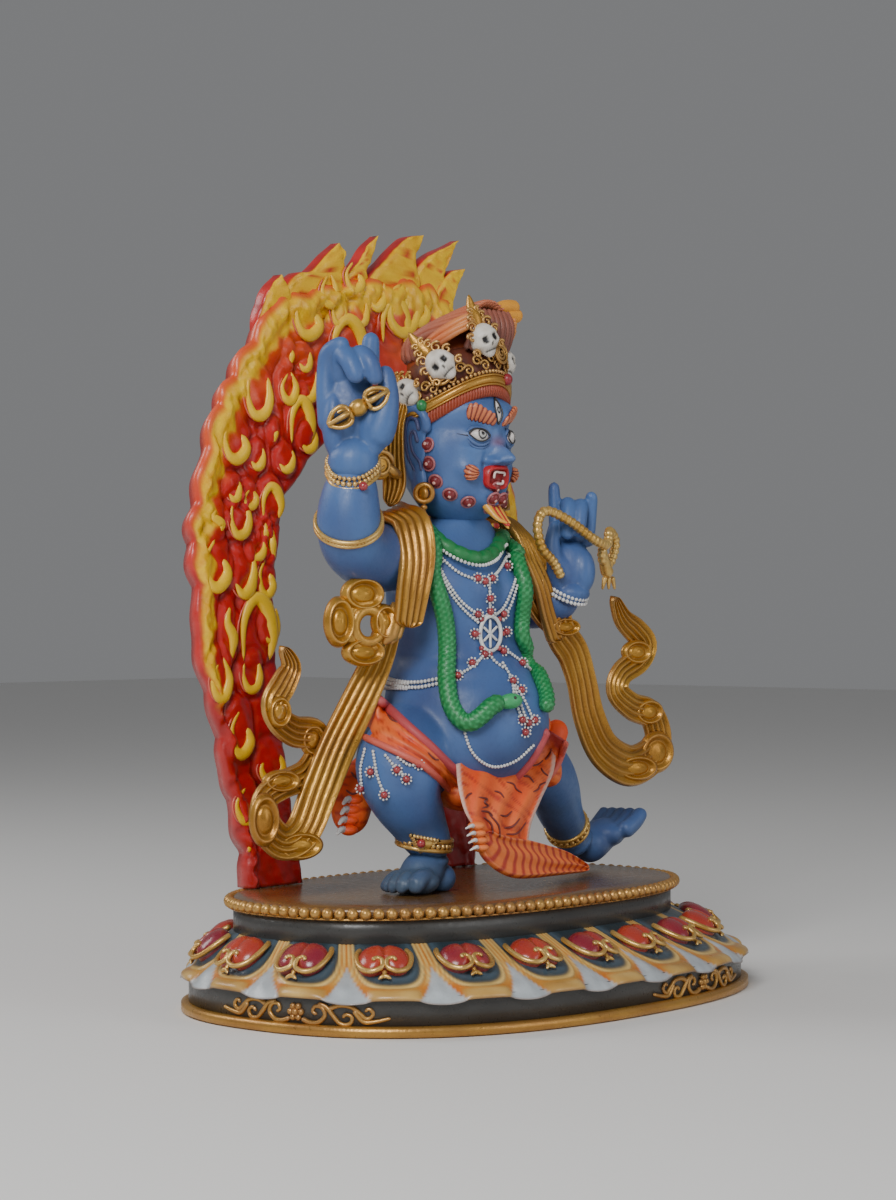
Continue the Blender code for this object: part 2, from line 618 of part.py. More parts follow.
def skirt():
    """The tiger skin wrapped round the hips, with its legs, paws and striped tail."""
    parts = [lump(-7, 12, 62, 36, 27, 18, (0, -4, 0)), lump(-26, 12, 66, 25, 20, 14, (0, 12, 0)),
             lump(16, 8, 58, 25, 18, 15, (0, -10, 0)), lump(-13, -10, 42, 17, 17, 9)]
    sash = [(-30, 30, 80), (-46, 16, 76), (-54, -2, 68), (-52, -17, 57), (-36, -23, 47),
            (-14, -26, 42), (6, -27, 45), (24, -20, 54), (32, -6, 62)]
    out = [(-0.4, 1, 0.3), (-1, 0.3, 0.4), (-1, -0.3, 0.6), (-0.6, -0.8, 0.6), (-0.3, -1, 0.4),
           (0, -1, 0.2), (0.2, -1, 0.2), (0.4, -0.9, 0.5), (0.6, -0.4, 0.8)]
    parts.append(band_on_body(sash, [16, 17, 17, 17, 15, 14, 15, 16, 14], out, 6, 30))
    apron = [(-14, -27, 46), (-14, -29, 38), (-13, -29, 30), (-12, -27, 21)]
    parts.append(band_on_body(apron, [44, 46, 42, 30], [(-0.2, -1, 0.1)] * 4, 7, 12))
    tail = [(-33, -27, 28), (-26, -28, 20), (-14, -27, 15), (2, -25, 13), (18, -23, 11), (35, -21, 8.5),
            (54, -18, 4)]
    parts.append(band_on_body(tail, [10, 15, 17, 16, 13, 10, 4], [(-0.1, -1, 0.3)] * 7, 6, 20))
    drape = [(30, -8, 64), (27, -22, 52), (17, -27, 40), (4, -29, 31)]
    out = [(0.2, -0.8, 0.8), (0.3, -1, 0.3), (0.1, -1, 0.1), (0, -1, 0.1)]
    parts.append(band_on_body(drape, [20, 27, 25, 14], out, 6, 12))
    for k in range(4):
        z = 31 - 4.2 * k
        parts += limb((-28, -28, z - 1, 3), (-35, -28, z, 2.4))
    parts += limb((-8, 26, 60, 11), (-30, 29, 50, 10), (-45, 27, 42, 9), (-52, 25, 31, 8.5),
                  (-56, 24, 26, 6))
    parts += limb((26, 0, 60, 9), (34, -6, 68, 7.5), (39, -8, 73, 5.5))
    return parts


def from_knot(points):
    """Places whose heights are measured from the right knot, in figure units."""
    return [(x, y, KNOT + z) for x, y, z in points]


def scarf_on_body():
    """The gilt scarf where it lies on the neck, shoulders and arms, down to the knots."""
    near = [(-8, 30, 150), (-26, 26, 158), (-40, 12, 160), (-44, -2, 156), (-47, -8, 142)]
    near += from_knot([(-50, -6, 10), (-50, -2, -6)])
    out = [(0, 1, 0.2), (-0.2, 0.9, 0.7), (-0.3, 0, 1), (-0.4, -0.7, 0.6), (-0.3, -1, 0),
           (-0.3, -1, 0), (-0.3, -1, 0)]
    parts = [band_on_body(near, [15, 16, 16, 16, 16, 14, 12], out, 5, 22)]
    far = [(-4, 30, 150), (14, 26, 158), (24, 8, 160), (25, -5, 152), (27, -10, 142)]
    far += from_knot([(33, -12, 14), (38, -12, 2), (44, -12, -10)])
    out = [(0, 1, 0.2), (0.2, 0.9, 0.7), (0.2, 0, 1), (0.2, -0.8, 0.6), (0, -1, 0.2),
           (0, -1, 0.2), (0.1, -1, 0), (0.1, -1, 0)]
    parts.append(band_on_body(far, [13, 13, 13, 12, 12, 13, 14, 15], out, 5, 24))
    return parts


def right_scarf(group, cutters, mat):
    """The gilt scarf end that falls from the right knot, with a bow and a curling tail."""
    route = from_knot([
        (-50, 3, 6), (-52, 4, -4), (-55, 7, -18), (-62, 11, -35), (-71, 15, -54),
        (-80, 17, -72), (-89, 18, -88), (-100, 19, -92), (-109, 20, -84), (-108, 21, -74),
        (-98, 21, -69), (-84, 21, -65), (-76, 21, -57), (-79, 21, -49), (-90, 22, -47),
        (-99, 22, -42), (-102, 22, -35), (-96, 22, -27), (-92, 22, -20), (-97, 22, -12)])
    width = [12, 13, 14, 15, 16, 16, 16, 15, 14, 12, 12, 13, 13, 13, 12, 11, 11, 11, 9, 5]
    parts = [band_on_body(route, width, [(-0.3, -1, 0)] * len(route), SCARF_THICKNESS / UNIT, SCARF_STEPS)]
    bow = []
    for k in range(13):
        turn = 2 * math.pi * k / 12
        bow.append((-70 + 11 * math.cos(turn), 3, -4 + 10.5 * math.sin(turn)))
    parts.append(tube([spot(*p) for p in from_knot(bow)], [5.6 * UNIT] * len(bow)))
    low = KNOT
    parts += [lump(-66, 2, low + 5, 8, 4, 6), lump(-81, 3, low - 2, 6, 4, 8),
              lump(-74, 3, low - 15, 9, 4, 6), lump(-50, 2, low - 3, 7, 5, 8),
              lump(-108, 18, low - 80, 8, 4, 10), lump(-98, 18, low - 91, 10, 4, 7)]
    scarf = fused("right_scarf", parts, group, mat, SCARF_VOXEL, SCARF_FACES)
    top = spot(0, 0, KNOT).z - KNOT_GAP
    cut(scarf, block("above_right_knot", (RIGHT_CUT_EDGE, -BASE_DEPTH, top),
                     (0, BASE_DEPTH, top + BASE_LENGTH), cutters))
    return scarf


def left_scarf(group, cutters, mat):
    """The gilt scarf end that falls under the left wrist and curls out to the side."""
    route = from_knot([
        (42, -12, 4), (45, -12, -7), (54, -12, -16), (60, -12, -28), (66, -12, -45),
        (77, -12, -60), (96, -12, -68), (113, -12, -64), (118, -12, -55), (112, -12, -45),
        (98, -12, -41), (87, -12, -34), (90, -12, -26), (103, -12, -20), (108, -12, -13),
        (101, -12, -7), (91, -12, -1), (84, -12, 9)])
    width = [13, 15, 16, 15, 15, 16, 17, 16, 14, 13, 13, 12, 12, 12, 12, 13, 10, 4]
    parts = [band_on_body(route, width, [(-0.3, -1, 0)] * len(route), SCARF_THICKNESS / UNIT, SCARF_STEPS)]
    low = KNOT
    parts += [lump(117, -14, low - 60, 10, 4, 10), lump(104, -14, low - 69, 12, 4, 8),
              lump(112, -14, low - 46, 9, 4, 7), lump(48, -12, low - 9, 11, 5, 6)]
    scarf = fused("left_scarf", parts, group, mat, SCARF_VOXEL, SCARF_FACES)
    top = spot(0, 0, LEFT_KNOT).z - KNOT_GAP
    cut(scarf, block("above_left_knot", (0, -BASE_DEPTH, top),
                     (LEFT_CUT_EDGE, BASE_DEPTH, top + BASE_LENGTH), cutters))
    return scarf


def figure(group, cutters, mat):
    """The whole casting of the guardian, with soles cut flat just above the plate."""
    pieces = torso() + legs() + right_arm() + left_arm() + head() + crown()
    pieces += snake_and_collar() + skirt() + scarf_on_body()
    body = fused("vajrapani_figure", pieces, group, mat, VOXEL, FIGURE_FACES)
    reach = BASE_LENGTH
    under = block("under_soles", (-reach, -reach, PLATE_TOP - reach),
                  (reach, reach, PLATE_TOP + SEAT_GAP), cutters)
    cut(body, under)
    bow_top = KNOT + BOW_REACH / UNIT
    seats = (("right_knot_seat", (-64, -22, KNOT - 36), (-37, 16, KNOT)),
             ("bow_clearance", (-92, -22, KNOT - 36), (-62, 16, bow_top)),
             ("left_knot_seat", (27.5, -30, LEFT_KNOT - 26), (62, 2, LEFT_KNOT)))
    for name, low, high in seats:
        cut(body, block(name, spot(*low), spot(*high), cutters))
    return body


def build():
    """Model every piece of the statue."""
    clear_scene()
    group = bpy.data.collections.new("vajrapani_statue")
    cutters = bpy.data.collections.new("cutters")
    for collection in (group, cutters):
        bpy.context.scene.collection.children.link(collection)
    lacquer = paint("dark_lacquer", (0.045, 0.05, 0.055), 0.35)
    flame = paint("flame_red", (0.55, 0.03, 0.02), 0.45)
    skin = paint("blue_skin", (0.06, 0.11, 0.26), 0.5)
    lotus_base(group, lacquer)
    flame_aureole(group, cutters, flame)
    figure(group, cutters, skin)
    gilt = paint("antique_gold", (0.62, 0.42, 0.13), 0.35, 0.8)
    right_scarf(group, cutters, gilt)
    left_scarf(group, cutters, gilt)


build()
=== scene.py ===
"""The finish of a painted guardian statue: lotus base, flames, carved figure and gilt scarves.

Every piece is a surface worked out with numpy. Figure units are millimetres from the middle
of the base, with heights counted from the top of the lotus plate.
"""
import math

import bmesh
import bpy
import numpy as np
from mathutils import Euler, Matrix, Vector
from mathutils.bvhtree import BVHTree


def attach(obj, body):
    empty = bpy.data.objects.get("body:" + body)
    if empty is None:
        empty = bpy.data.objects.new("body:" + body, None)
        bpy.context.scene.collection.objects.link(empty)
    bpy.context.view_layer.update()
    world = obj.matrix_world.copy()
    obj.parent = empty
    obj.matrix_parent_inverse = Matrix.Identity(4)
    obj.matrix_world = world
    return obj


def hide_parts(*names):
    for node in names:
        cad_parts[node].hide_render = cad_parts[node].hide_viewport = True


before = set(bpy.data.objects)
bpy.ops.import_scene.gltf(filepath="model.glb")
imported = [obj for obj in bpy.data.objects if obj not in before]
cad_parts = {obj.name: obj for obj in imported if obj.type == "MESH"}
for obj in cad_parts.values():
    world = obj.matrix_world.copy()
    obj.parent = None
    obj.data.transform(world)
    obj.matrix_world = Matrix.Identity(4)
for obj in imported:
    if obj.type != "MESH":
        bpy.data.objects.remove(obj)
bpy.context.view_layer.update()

MM = 0.001
SEED = 20

# The photograph's camera
PHOTO_WIDE = 896
PHOTO_TALL = 1200
LENS = 85.0
FILM = 36.0
CAMERA_PLACE = np.array([-0.9422, -0.7826, 0.1673])
CAMERA_TURN = (90.14, 0.0, -49.76)

# Sizes that the solids were made to, in millimetres
BASE_LENGTH = 277.0
BASE_DEPTH = 192.0
PLATE_LENGTH = 231.4
PLATE_DEPTH = 138.0
PLATE_SHIFT = 8.0
PLATE_TOP = 47.0
BAND_TOP = 14.0
PETAL_TOP = 33.0
RIM_HEIGHT = 4.5
BEAD_LINE = 45.0
BEADS = 114
PETALS = 20
OVAL_POWER = 2.4
AUREOLE_FACE = 62.0
AUREOLE_BACK = 70.0
AUREOLE_HEIGHT = 289.0
AUREOLE_HALF_WIDTH = 109.0
SEAT_GAP = 0.3

# Paint colours
BLUE = (0.07, 0.145, 0.35)
BLUE_DARK = (0.03, 0.045, 0.165)
OLIVE = (0.07, 0.10, 0.09)
RED = (0.60, 0.012, 0.008)
RED_DARK = (0.25, 0.006, 0.008)
FLAME_ORANGE = (0.84, 0.11, 0.01)
YELLOW = (1.0, 0.62, 0.002)
YELLOW_DARK = (0.80, 0.34, 0.003)
GOLD = (0.56, 0.30, 0.045)
GOLD_PALE = (0.82, 0.55, 0.17)
GOLD_BROWN = (0.17, 0.07, 0.02)
SLATE = (0.022, 0.042, 0.055)
SLATE_PALE = (0.075, 0.12, 0.16)
LACQUER = (0.013, 0.014, 0.014)
BRICK = (0.42, 0.035, 0.02)
MAROON = (0.24, 0.012, 0.03)
GREY_WHITE = (0.47, 0.51, 0.53)
TIGER = (0.88, 0.085, 0.012)
TIGER_PALE = (0.90, 0.22, 0.05)
PINK_RED = (0.52, 0.06, 0.07)
FUR = (0.80, 0.52, 0.42)
STRIPE = (0.16, 0.008, 0.008)
GREEN = (0.008, 0.20, 0.05)
GREEN_PALE = (0.05, 0.40, 0.14)
WHITE = (0.80, 0.79, 0.76)
JEWEL = (0.26, 0.012, 0.02)
HAIR = (0.60, 0.13, 0.02)
HAIR_PALE = (0.82, 0.32, 0.06)
CAP_BROWN = (0.10, 0.022, 0.012)
BLACK = (0.008, 0.007, 0.007)


def unit(rows):
    """Rows of vectors, each made one long."""
    return rows / np.maximum(np.linalg.norm(rows, axis=-1, keepdims=True), 1e-12)


def ease(low, high, value):
    """A smooth step from 0 at low to 1 at high."""
    t = np.clip((value - low) / (high - low), 0, 1)
    return t * t * (3 - 2 * t)


def blend_paint(first, second, share):
    """A mix of two colours, by a share given for each point."""
    share = np.clip(share, 0, 1)[..., None]
    return np.asarray(first) * (1 - share) + np.asarray(second) * share


def clouds(points, size, seed=0):
    """Soft drifting noise from -1 to 1: the mean of six sine waves in seeded directions."""
    rng = np.random.default_rng(SEED + seed)
    total = np.zeros(points.shape[:-1])
    for k in range(6):
        way = unit(rng.normal(size=3)) * 2 * math.pi / size * (0.7 + 0.25 * k)
        total += np.sin(points @ way + rng.uniform(0, 6.3)) * (1 - 0.08 * k)
    return total / 3.2


def smooth_line(points, count):
    """A Catmull-Rom curve through the points, evenly spread by index."""
    pts = np.array(points, float)
    ends = np.vstack([2 * pts[0] - pts[1], pts, 2 * pts[-1] - pts[-2]])
    where = np.linspace(0, len(pts) - 1, count)
    i = np.minimum(where.astype(int), len(pts) - 2)
    t = (where - i)[:, None]
    a, b, c, d = ends[i], ends[i + 1], ends[i + 2], ends[i + 3]
    return 0.5 * (2 * b + (c - a) * t + (2 * a - 5 * b + 4 * c - d) * t**2
                  + (3 * b - a - 3 * c + d) * t**3)


def round_turns(count):
    """Even turns right round a circle."""
    return np.linspace(0, 2 * math.pi, count, endpoint=False)


def circle(middle, side, up, radius, count):
    """A circle of points round a middle, in the plane of two ways."""
    turn = round_turns(count)[:, None]
    return middle + radius * (np.cos(turn) * side + np.sin(turn) * up)


def lengths_along(path):
    """The distance gone at each point of a path."""
    return np.concatenate([[0], np.cumsum(np.linalg.norm(np.diff(path[:, :3], axis=0), axis=1))])


def even_line(points, step=None, count=None, smooth=True):
    """Points at equal distances along a smooth curve; columns past the third ride along."""
    path = smooth_line(points, 24 * len(points)) if smooth else np.array(points, float)
    gone = lengths_along(path)
    number = count or max(2, int(round(gone[-1] / step)) + 1)
    where = np.linspace(0, gone[-1], number)
    return np.stack([np.interp(where, gone, path[:, k]) for k in range(path.shape[1])], 1)


def rolled(path, rounds):
    """A path or grid evened out along its rows, with its two ends kept."""
    for _ in range(rounds):
        path[1:-1] = 0.5 * path[1:-1] + 0.25 * (path[:-2] + path[2:])
    return path


def closed_grid(grid, loop=False, paint=None):
    """A closed skin from rings of points, each ring closed on itself.

    The two end rings are filled with a fan to their middle, unless the rings go round in
    a loop. The skin is turned so that its volume is positive.
    """
    rows, cols = grid.shape[:2]
    index = np.arange(rows * cols).reshape(rows, cols)
    beside = np.roll(index, -1, 1)
    if loop:
        above = np.roll(index, -1, 0)
        quads = np.stack([index, beside, np.roll(beside, -1, 0), above], -1).reshape(-1, 4)
    else:
        quads = np.stack([index[:-1], beside[:-1], beside[1:], index[1:]], -1).reshape(-1, 4)
    points = grid.reshape(-1, 3)
    tris = np.zeros((0, 3), int)
    colours = None if paint is None else np.broadcast_to(paint, grid.shape).reshape(-1, 3)
    if not loop:
        n = len(points)
        points = np.vstack([points, grid[0].mean(0), grid[-1].mean(0)])
        first = np.stack([beside[0], index[0], np.full(cols, n)], -1)
        last = np.stack([index[-1], beside[-1], np.full(cols, n + 1)], -1)
        tris = np.vstack([first, last])
        if colours is not None:
            ends = np.broadcast_to(paint, grid.shape)
            colours = np.vstack([colours, ends[0].mean(0), ends[-1].mean(0)])
    a, b, c, d = (points[quads[:, k]] for k in range(4))
    volume = (np.cross(a, b) * c).sum() + (np.cross(a, c) * d).sum()
    if len(tris):
        a, b, c = (points[tris[:, k]] for k in range(3))
        volume += (np.cross(a, b) * c).sum()
    if volume < 0:
        quads = quads[:, ::-1]
        tris = tris[:, ::-1]
    return {"points": points, "quads": quads, "tris": tris, "paint": colours}


def two_faced(front, back, paint, back_tone):
    """A closed skin from a painted front and a plain back, row against row."""
    tone = np.broadcast_to(back_tone, back.shape)
    return closed_grid(np.concatenate([front, back[:, ::-1]], 1),
                       paint=np.concatenate([paint, tone], 1))


def cross_frames(path, facing=None, loop=False):
    """For each point of a path: the way along, the way up and the way to the side."""
    if loop:
        along = unit(np.roll(path, -1, 0) - np.roll(path, 1, 0))
    else:
        along = unit(np.gradient(path, axis=0))
    if facing is None:
        start = np.eye(3)[np.argmin(np.abs(along[0]))]
        up = np.zeros_like(path)
        up[0] = unit(start - along[0] * (start @ along[0]))
        for k in range(1, len(path)):
            up[k] = unit(up[k - 1] - along[k] * (up[k - 1] @ along[k]))
    else:
        up = np.broadcast_to(np.asarray(facing, float), path.shape)
        up = unit(up - along * (up * along).sum(1)[:, None])
    return along, up, np.cross(along, up)


def tube(path, radius, sides, facing=None, flat=1.0, loop=False, paint=None):
    """A round cord or limb: circles of the given radii carried along a path.

    Flat squeezes the circle towards its facing. Free ends round off like a ball.
    """
    path = np.asarray(path, float)
    _, up, side = cross_frames(path, facing, loop)
    radius = np.broadcast_to(np.asarray(radius, float), len(path)).copy()
    if not loop:
        gone = lengths_along(path)
        near = np.minimum(gone, gone[-1] - gone) / np.maximum(radius, 1e-9)
        radius *= np.sqrt(np.clip(1 - (1 - np.clip(near, 0, 1)) ** 2, 0.02, 1))
    turn = round_turns(sides)
    ring = (np.cos(turn)[None, :, None] * side[:, None] +
            np.sin(turn)[None, :, None] * up[:, None] * flat)
    grid = path[:, None] + ring * radius[:, None, None]
    if paint is not None and np.ndim(paint) == 2:
        paint = np.asarray(paint)[:, None, :]
    return closed_grid(grid, loop, paint)


def profile_sweep(path, across, up_heights, width, facing, paint):
    """A section drawn by across and height values, carried along a path at a given width."""
    _, up, side = cross_frames(path, facing)
    width = np.broadcast_to(np.asarray(width, float), len(path))
    heights = np.broadcast_to(up_heights, (len(path), len(across)))
    grid = (path[:, None] + side[:, None] * (across[None, :, None] * width[:, None, None])
            + up[:, None] * heights[..., None])
    return closed_grid(grid, paint=paint)


def egg(centre, radii, axes=None, rows=14, cols=20, paint=None):
    """An ellipsoid: circles of radius sin(t) set at cos(t) along its third axis."""
    t = np.linspace(0.06, math.pi - 0.06, rows)[:, None]
    turn = round_turns(cols)[None, :]
    local = np.stack([np.sin(t) * np.cos(turn), np.sin(t) * np.sin(turn),
                      np.cos(t) * np.ones_like(turn)], -1) * np.asarray(radii, float)
    axes = np.eye(3) if axes is None else np.asarray(axes, float)
    return closed_grid(local @ axes + np.asarray(centre, float), paint=paint)


def copies(shape, places, sizes):
    """One shape set down at many places, with its own size at each."""
    places = np.asarray(places, float).reshape(-1, 3)
    count = len(places)
    sizes = np.broadcast_to(np.asarray(sizes, float), count)
    n = len(shape["points"])
    points = (shape["points"][None] * sizes[:, None, None] + places[:, None]).reshape(-1, 3)
    shift = (np.arange(count) * n)[:, None, None]
    colours = None if shape["paint"] is None else np.tile(shape["paint"], (count, 1))
    return {"points": points, "quads": (shape["quads"][None] + shift).reshape(-1, 4),
            "tris": (shape["tris"][None] + shift).reshape(-1, 3), "paint": colours}


SMALL_BALL = egg((0, 0, 0), (1, 1, 1), rows=4, cols=6)
FINE_BALL = egg((0, 0, 0), (1, 1, 1), rows=7, cols=12)


def make_mesh(name, shapes):
    """One mesh from several closed skins given in millimetres."""
    points, faces, colours = [], [], []
    base = 0
    painted = shapes[0]["paint"] is not None
    for shape in shapes:
        points.append(shape["points"])
        faces += (shape["quads"] + base).tolist()
        faces += (shape["tris"] + base).tolist()
        if painted:
            colours.append(shape["paint"])
        base += len(shape["points"])
    mesh = bpy.data.meshes.new(name)
    mesh.from_pydata((np.vstack(points) * MM).tolist(), [], faces)
    if painted:
        layer = mesh.attributes.new("paint", "FLOAT_COLOR", "POINT")
        rows = np.ones((base, 4), np.float32)
        rows[:, :3] = np.vstack(colours)
        layer.data.foreach_set("color", rows.ravel())
    mesh.shade_smooth()
    return mesh


def piece(name, shapes, material, replaces=()):
    """A finished piece of the statue, from skins or a ready mesh, riding on its one body."""
    mesh = shapes if isinstance(shapes, bpy.types.Mesh) else make_mesh(name, shapes)
    obj = bpy.data.objects.new(name, mesh)
    bpy.context.scene.collection.objects.link(obj)
    mesh.materials.append(material)
    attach(obj, "root")
    if replaces:
        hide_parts(*replaces)
    return obj


def melted(name, shapes, voxel, rounds, material, replaces=()):
    """Overlapping skins melted into one, with their joints smoothed as in wax."""
    raw = bpy.data.objects.new(name + "_raw", make_mesh(name + "_raw", shapes))
    bpy.context.scene.collection.objects.link(raw)
    melt = raw.modifiers.new("melt", "REMESH")
    melt.mode = "VOXEL"
    melt.voxel_size = voxel * MM
    melt.use_smooth_shade = True
    soften = raw.modifiers.new("soften", "SMOOTH")
    soften.factor = 0.5
    soften.iterations = rounds
    graph = bpy.context.evaluated_depsgraph_get()
    mesh = bpy.data.meshes.new_from_object(raw.evaluated_get(graph))
    bpy.data.objects.remove(raw, do_unlink=True)
    mesh.name = name
    mesh.shade_smooth()
    mesh.materials.clear()
    return piece(name, mesh, material, replaces)


def mesh_points(mesh):
    """A mesh's points in millimetres, as rows."""
    rows = np.zeros(len(mesh.vertices) * 3, np.float32)
    mesh.vertices.foreach_get("co", rows)
    return rows.reshape(-1, 3).astype(float) / MM


def paint_mesh(obj, colours):
    """Writes a paint colour on each point of a finished mesh."""
    layer = obj.data.attributes.new("paint", "FLOAT_COLOR", "POINT")
    rows = np.ones((len(colours), 4), np.float32)
    rows[:, :3] = colours
    layer.data.foreach_set("color", rows.ravel())


# Places given by the photograph's pixels

CAMERA_AXES = np.array(Euler([math.radians(a) for a in CAMERA_TURN]).to_matrix())
FOCUS = LENS / FILM * PHOTO_TALL
EYE = CAMERA_PLACE / MM


def sight(pixels):
    """Directions from the camera through places in the photograph."""
    uv = np.atleast_2d(np.asarray(pixels, float))[:, :2]
    local = np.stack([(uv[:, 0] - PHOTO_WIDE / 2) / FOCUS, (PHOTO_TALL / 2 - uv[:, 1]) / FOCUS,
                      -np.ones(len(uv))], 1)
    return unit(local @ CAMERA_AXES.T)


def on_plane(pixels, y):
    """Where the sight lines meet the upright plane at depth y, in millimetres."""
    way = sight(pixels)
    return EYE + way * ((y - EYE[1]) / way[:, 1])[:, None]


def carrier(*objects):
    """A tree of faces that sight lines can be dropped on."""
    points, faces = [], []
    base = 0
    for obj in objects:
        points += [v.co / MM for v in obj.data.vertices]
        faces += [[base + i for i in p.vertices] for p in obj.data.polygons]
        base = len(points)
    return BVHTree.FromPolygons(points, faces)


# How far the figure is from the camera, in mm, for a first sight line that misses
USUAL_DISTANCE = 1215.0


def laid(pixels, tree, lift):
    """Sight lines dropped on a carrier, raised by lift along its surface.

    A line that misses keeps the distance of the last one that met it.
    """
    found = []
    distance = USUAL_DISTANCE
    for way in sight(pixels):
        hit, normal, _, far = tree.ray_cast(Vector(EYE), Vector(way))
        if hit is None:
            found.append(EYE + way * distance)
        else:
            distance = far
            found.append(np.array(hit) + np.array(normal) * lift)
    return np.array(found)


def snapped(points, tree, lift=0.0, reach=8.0):
    """Points moved to the nearest place on a carrier, where it is within reach."""
    out = []
    for point in np.asarray(points, float):
        hit, normal, _, far = tree.find_nearest(Vector(point))
        if hit is None or far > reach:
            out.append(point)
        else:
            out.append(np.array(hit) + np.array(normal) * lift)
    return np.array(out)


# Finishes

def painted(name, light=None, dark=None, rough=0.42, metal=0.0, grain=0.25, bump=0.15,
            cloud=28.0, crease_shade=0.6, coat=0.0):
    """A brushed paint or gilding.

    The colour is the piece's own paint attribute, or drifts between two tones in clouds.
    It is painted darker in creases, a painted shade, and lighter along sharp outward edges,
    a painted highlight, with brush grain in the roughness and the bump.
    """
    mat = bpy.data.materials.new(name)
    mat.use_nodes = True
    nodes, links = mat.node_tree.nodes, mat.node_tree.links
    shader = nodes["Principled BSDF"]
    shader.inputs["Metallic"].default_value = metal
    shader.inputs["Coat Weight"].default_value = coat
    shader.inputs["Coat Roughness"].default_value = 0.2
    place = nodes.new("ShaderNodeTexCoord")

    def noise(scale, detail, rough_noise=0.55):
        node = nodes.new("ShaderNodeTexNoise")
        node.inputs["Scale"].default_value = scale
        node.inputs["Detail"].default_value = detail
        node.inputs["Roughness"].default_value = rough_noise
        links.new(place.outputs["Object"], node.inputs["Vector"])
        return node.outputs["Fac"]

    def mixed(kind, first, second, share):
        node = nodes.new("ShaderNodeMix")
        node.data_type = "RGBA"
        node.blend_type = kind
        for socket, value in ((node.inputs[6], first), (node.inputs[7], second),
                              (node.inputs[0], share)):
            if isinstance(value, bpy.types.NodeSocket):
                links.new(value, socket)
            elif isinstance(value, tuple):
                socket.default_value = (*value, 1.0)
            else:
                socket.default_value = value
        return node.outputs[2]

    def ramp(value, low, high, start=0.0, end=1.0):
        node = nodes.new("ShaderNodeMapRange")
        for key, number in (("From Min", low), ("From Max", high), ("To Min", start),
                            ("To Max", end)):
            node.inputs[key].default_value = number
        links.new(value, node.inputs["Value"])
        return node.outputs["Result"]

    broad = ramp(noise(cloud, 3.0), 0.32, 0.68)
    fine = noise(420.0, 4.0, 0.65)
    if light is None:
        source = nodes.new("ShaderNodeAttribute")
        source.attribute_name = "paint"
        shaded = mixed("MULTIPLY", source.outputs["Color"], (0.62, 0.60, 0.62), 1.0)
        colour = mixed("MIX", source.outputs["Color"], shaded, ramp(broad, 0, 1, 0.0, grain * 1.6))
    else:
        colour = mixed("MIX", light, dark or tuple(c * 0.55 for c in light), broad)
    colour = mixed("MULTIPLY", colour, (0.62, 0.58, 0.55), ramp(fine, 0.5, 0.75, 0.0, grain))
    shape = nodes.new("ShaderNodeNewGeometry")
    # Painted shade: darker where the surface is hollow, in creases and recesses.
    hollow = ramp(shape.outputs["Pointiness"], 0.40, 0.495, crease_shade, 0.0)
    colour = mixed("MULTIPLY", colour, (0.16, 0.10, 0.09), hollow)
    # Painted highlight: lighter where the surface turns sharply outward, along edges.
    edge_highlight = ramp(shape.outputs["Pointiness"], 0.52, 0.62, 0.0, grain * 0.9)
    colour = mixed("SCREEN", colour, (0.30, 0.28, 0.26), edge_highlight)
    links.new(colour, shader.inputs["Base Color"])
    links.new(ramp(fine, 0.3, 0.7, rough - 0.09, rough + 0.12), shader.inputs["Roughness"])
    press = nodes.new("ShaderNodeBump")
    press.inputs["Strength"].default_value = bump
    press.inputs["Distance"].default_value = 0.0006
    links.new(noise(900.0, 3.0), press.inputs["Height"])
    links.new(press.outputs["Normal"], shader.inputs["Normal"])
    return mat


SKIN = painted("blue_skin_paint", rough=0.44, grain=0.22, crease_shade=0.75, cloud=22.0)
FLAME = painted("flame_paint", rough=0.36, grain=0.22, crease_shade=0.55, coat=0.25)
GILT = painted("antique_gilding", GOLD, (0.42, 0.19, 0.03), 0.33, 0.65, 0.35, 0.2, 34.0, 1.0)
GILT_BRIGHT = painted("bright_gilding", GOLD_PALE, GOLD, 0.30, 0.65, 0.3, 0.15, 60.0, 1.0)
LOTUS = painted("lotus_paint", rough=0.35, grain=0.25, crease_shade=0.6, coat=0.3)
WALL = painted("dark_lacquer_paint", LACQUER, (0.04, 0.042, 0.04), 0.32, 0.0, 0.3, 0.12, 20.0, 0.3)
BUD = painted("bud_paint", rough=0.26, grain=0.2, crease_shade=0.5, coat=0.6)
CLOTH = painted("tiger_paint", rough=0.48, grain=0.22, crease_shade=0.55)
SCALES = painted("snake_paint", rough=0.40, grain=0.2, crease_shade=0.8)
BEADWORK = painted("bead_paint", WHITE, (0.60, 0.60, 0.60), 0.38, 0.0, 0.15, 0.1, 90.0, 0.7)
DROPS = painted("jewel_paint", JEWEL, (0.40, 0.03, 0.035), 0.22, 0.0, 0.15, 0.05, 90.0, 0.6, 0.7)
STRANDS = painted("hair_paint", rough=0.46, grain=0.25, crease_shade=0.9)
BONE = painted("skull_paint", rough=0.42, grain=0.15, crease_shade=0.35)
FACE = painted("face_paint", rough=0.38, grain=0.12, crease_shade=0.4, coat=0.2)


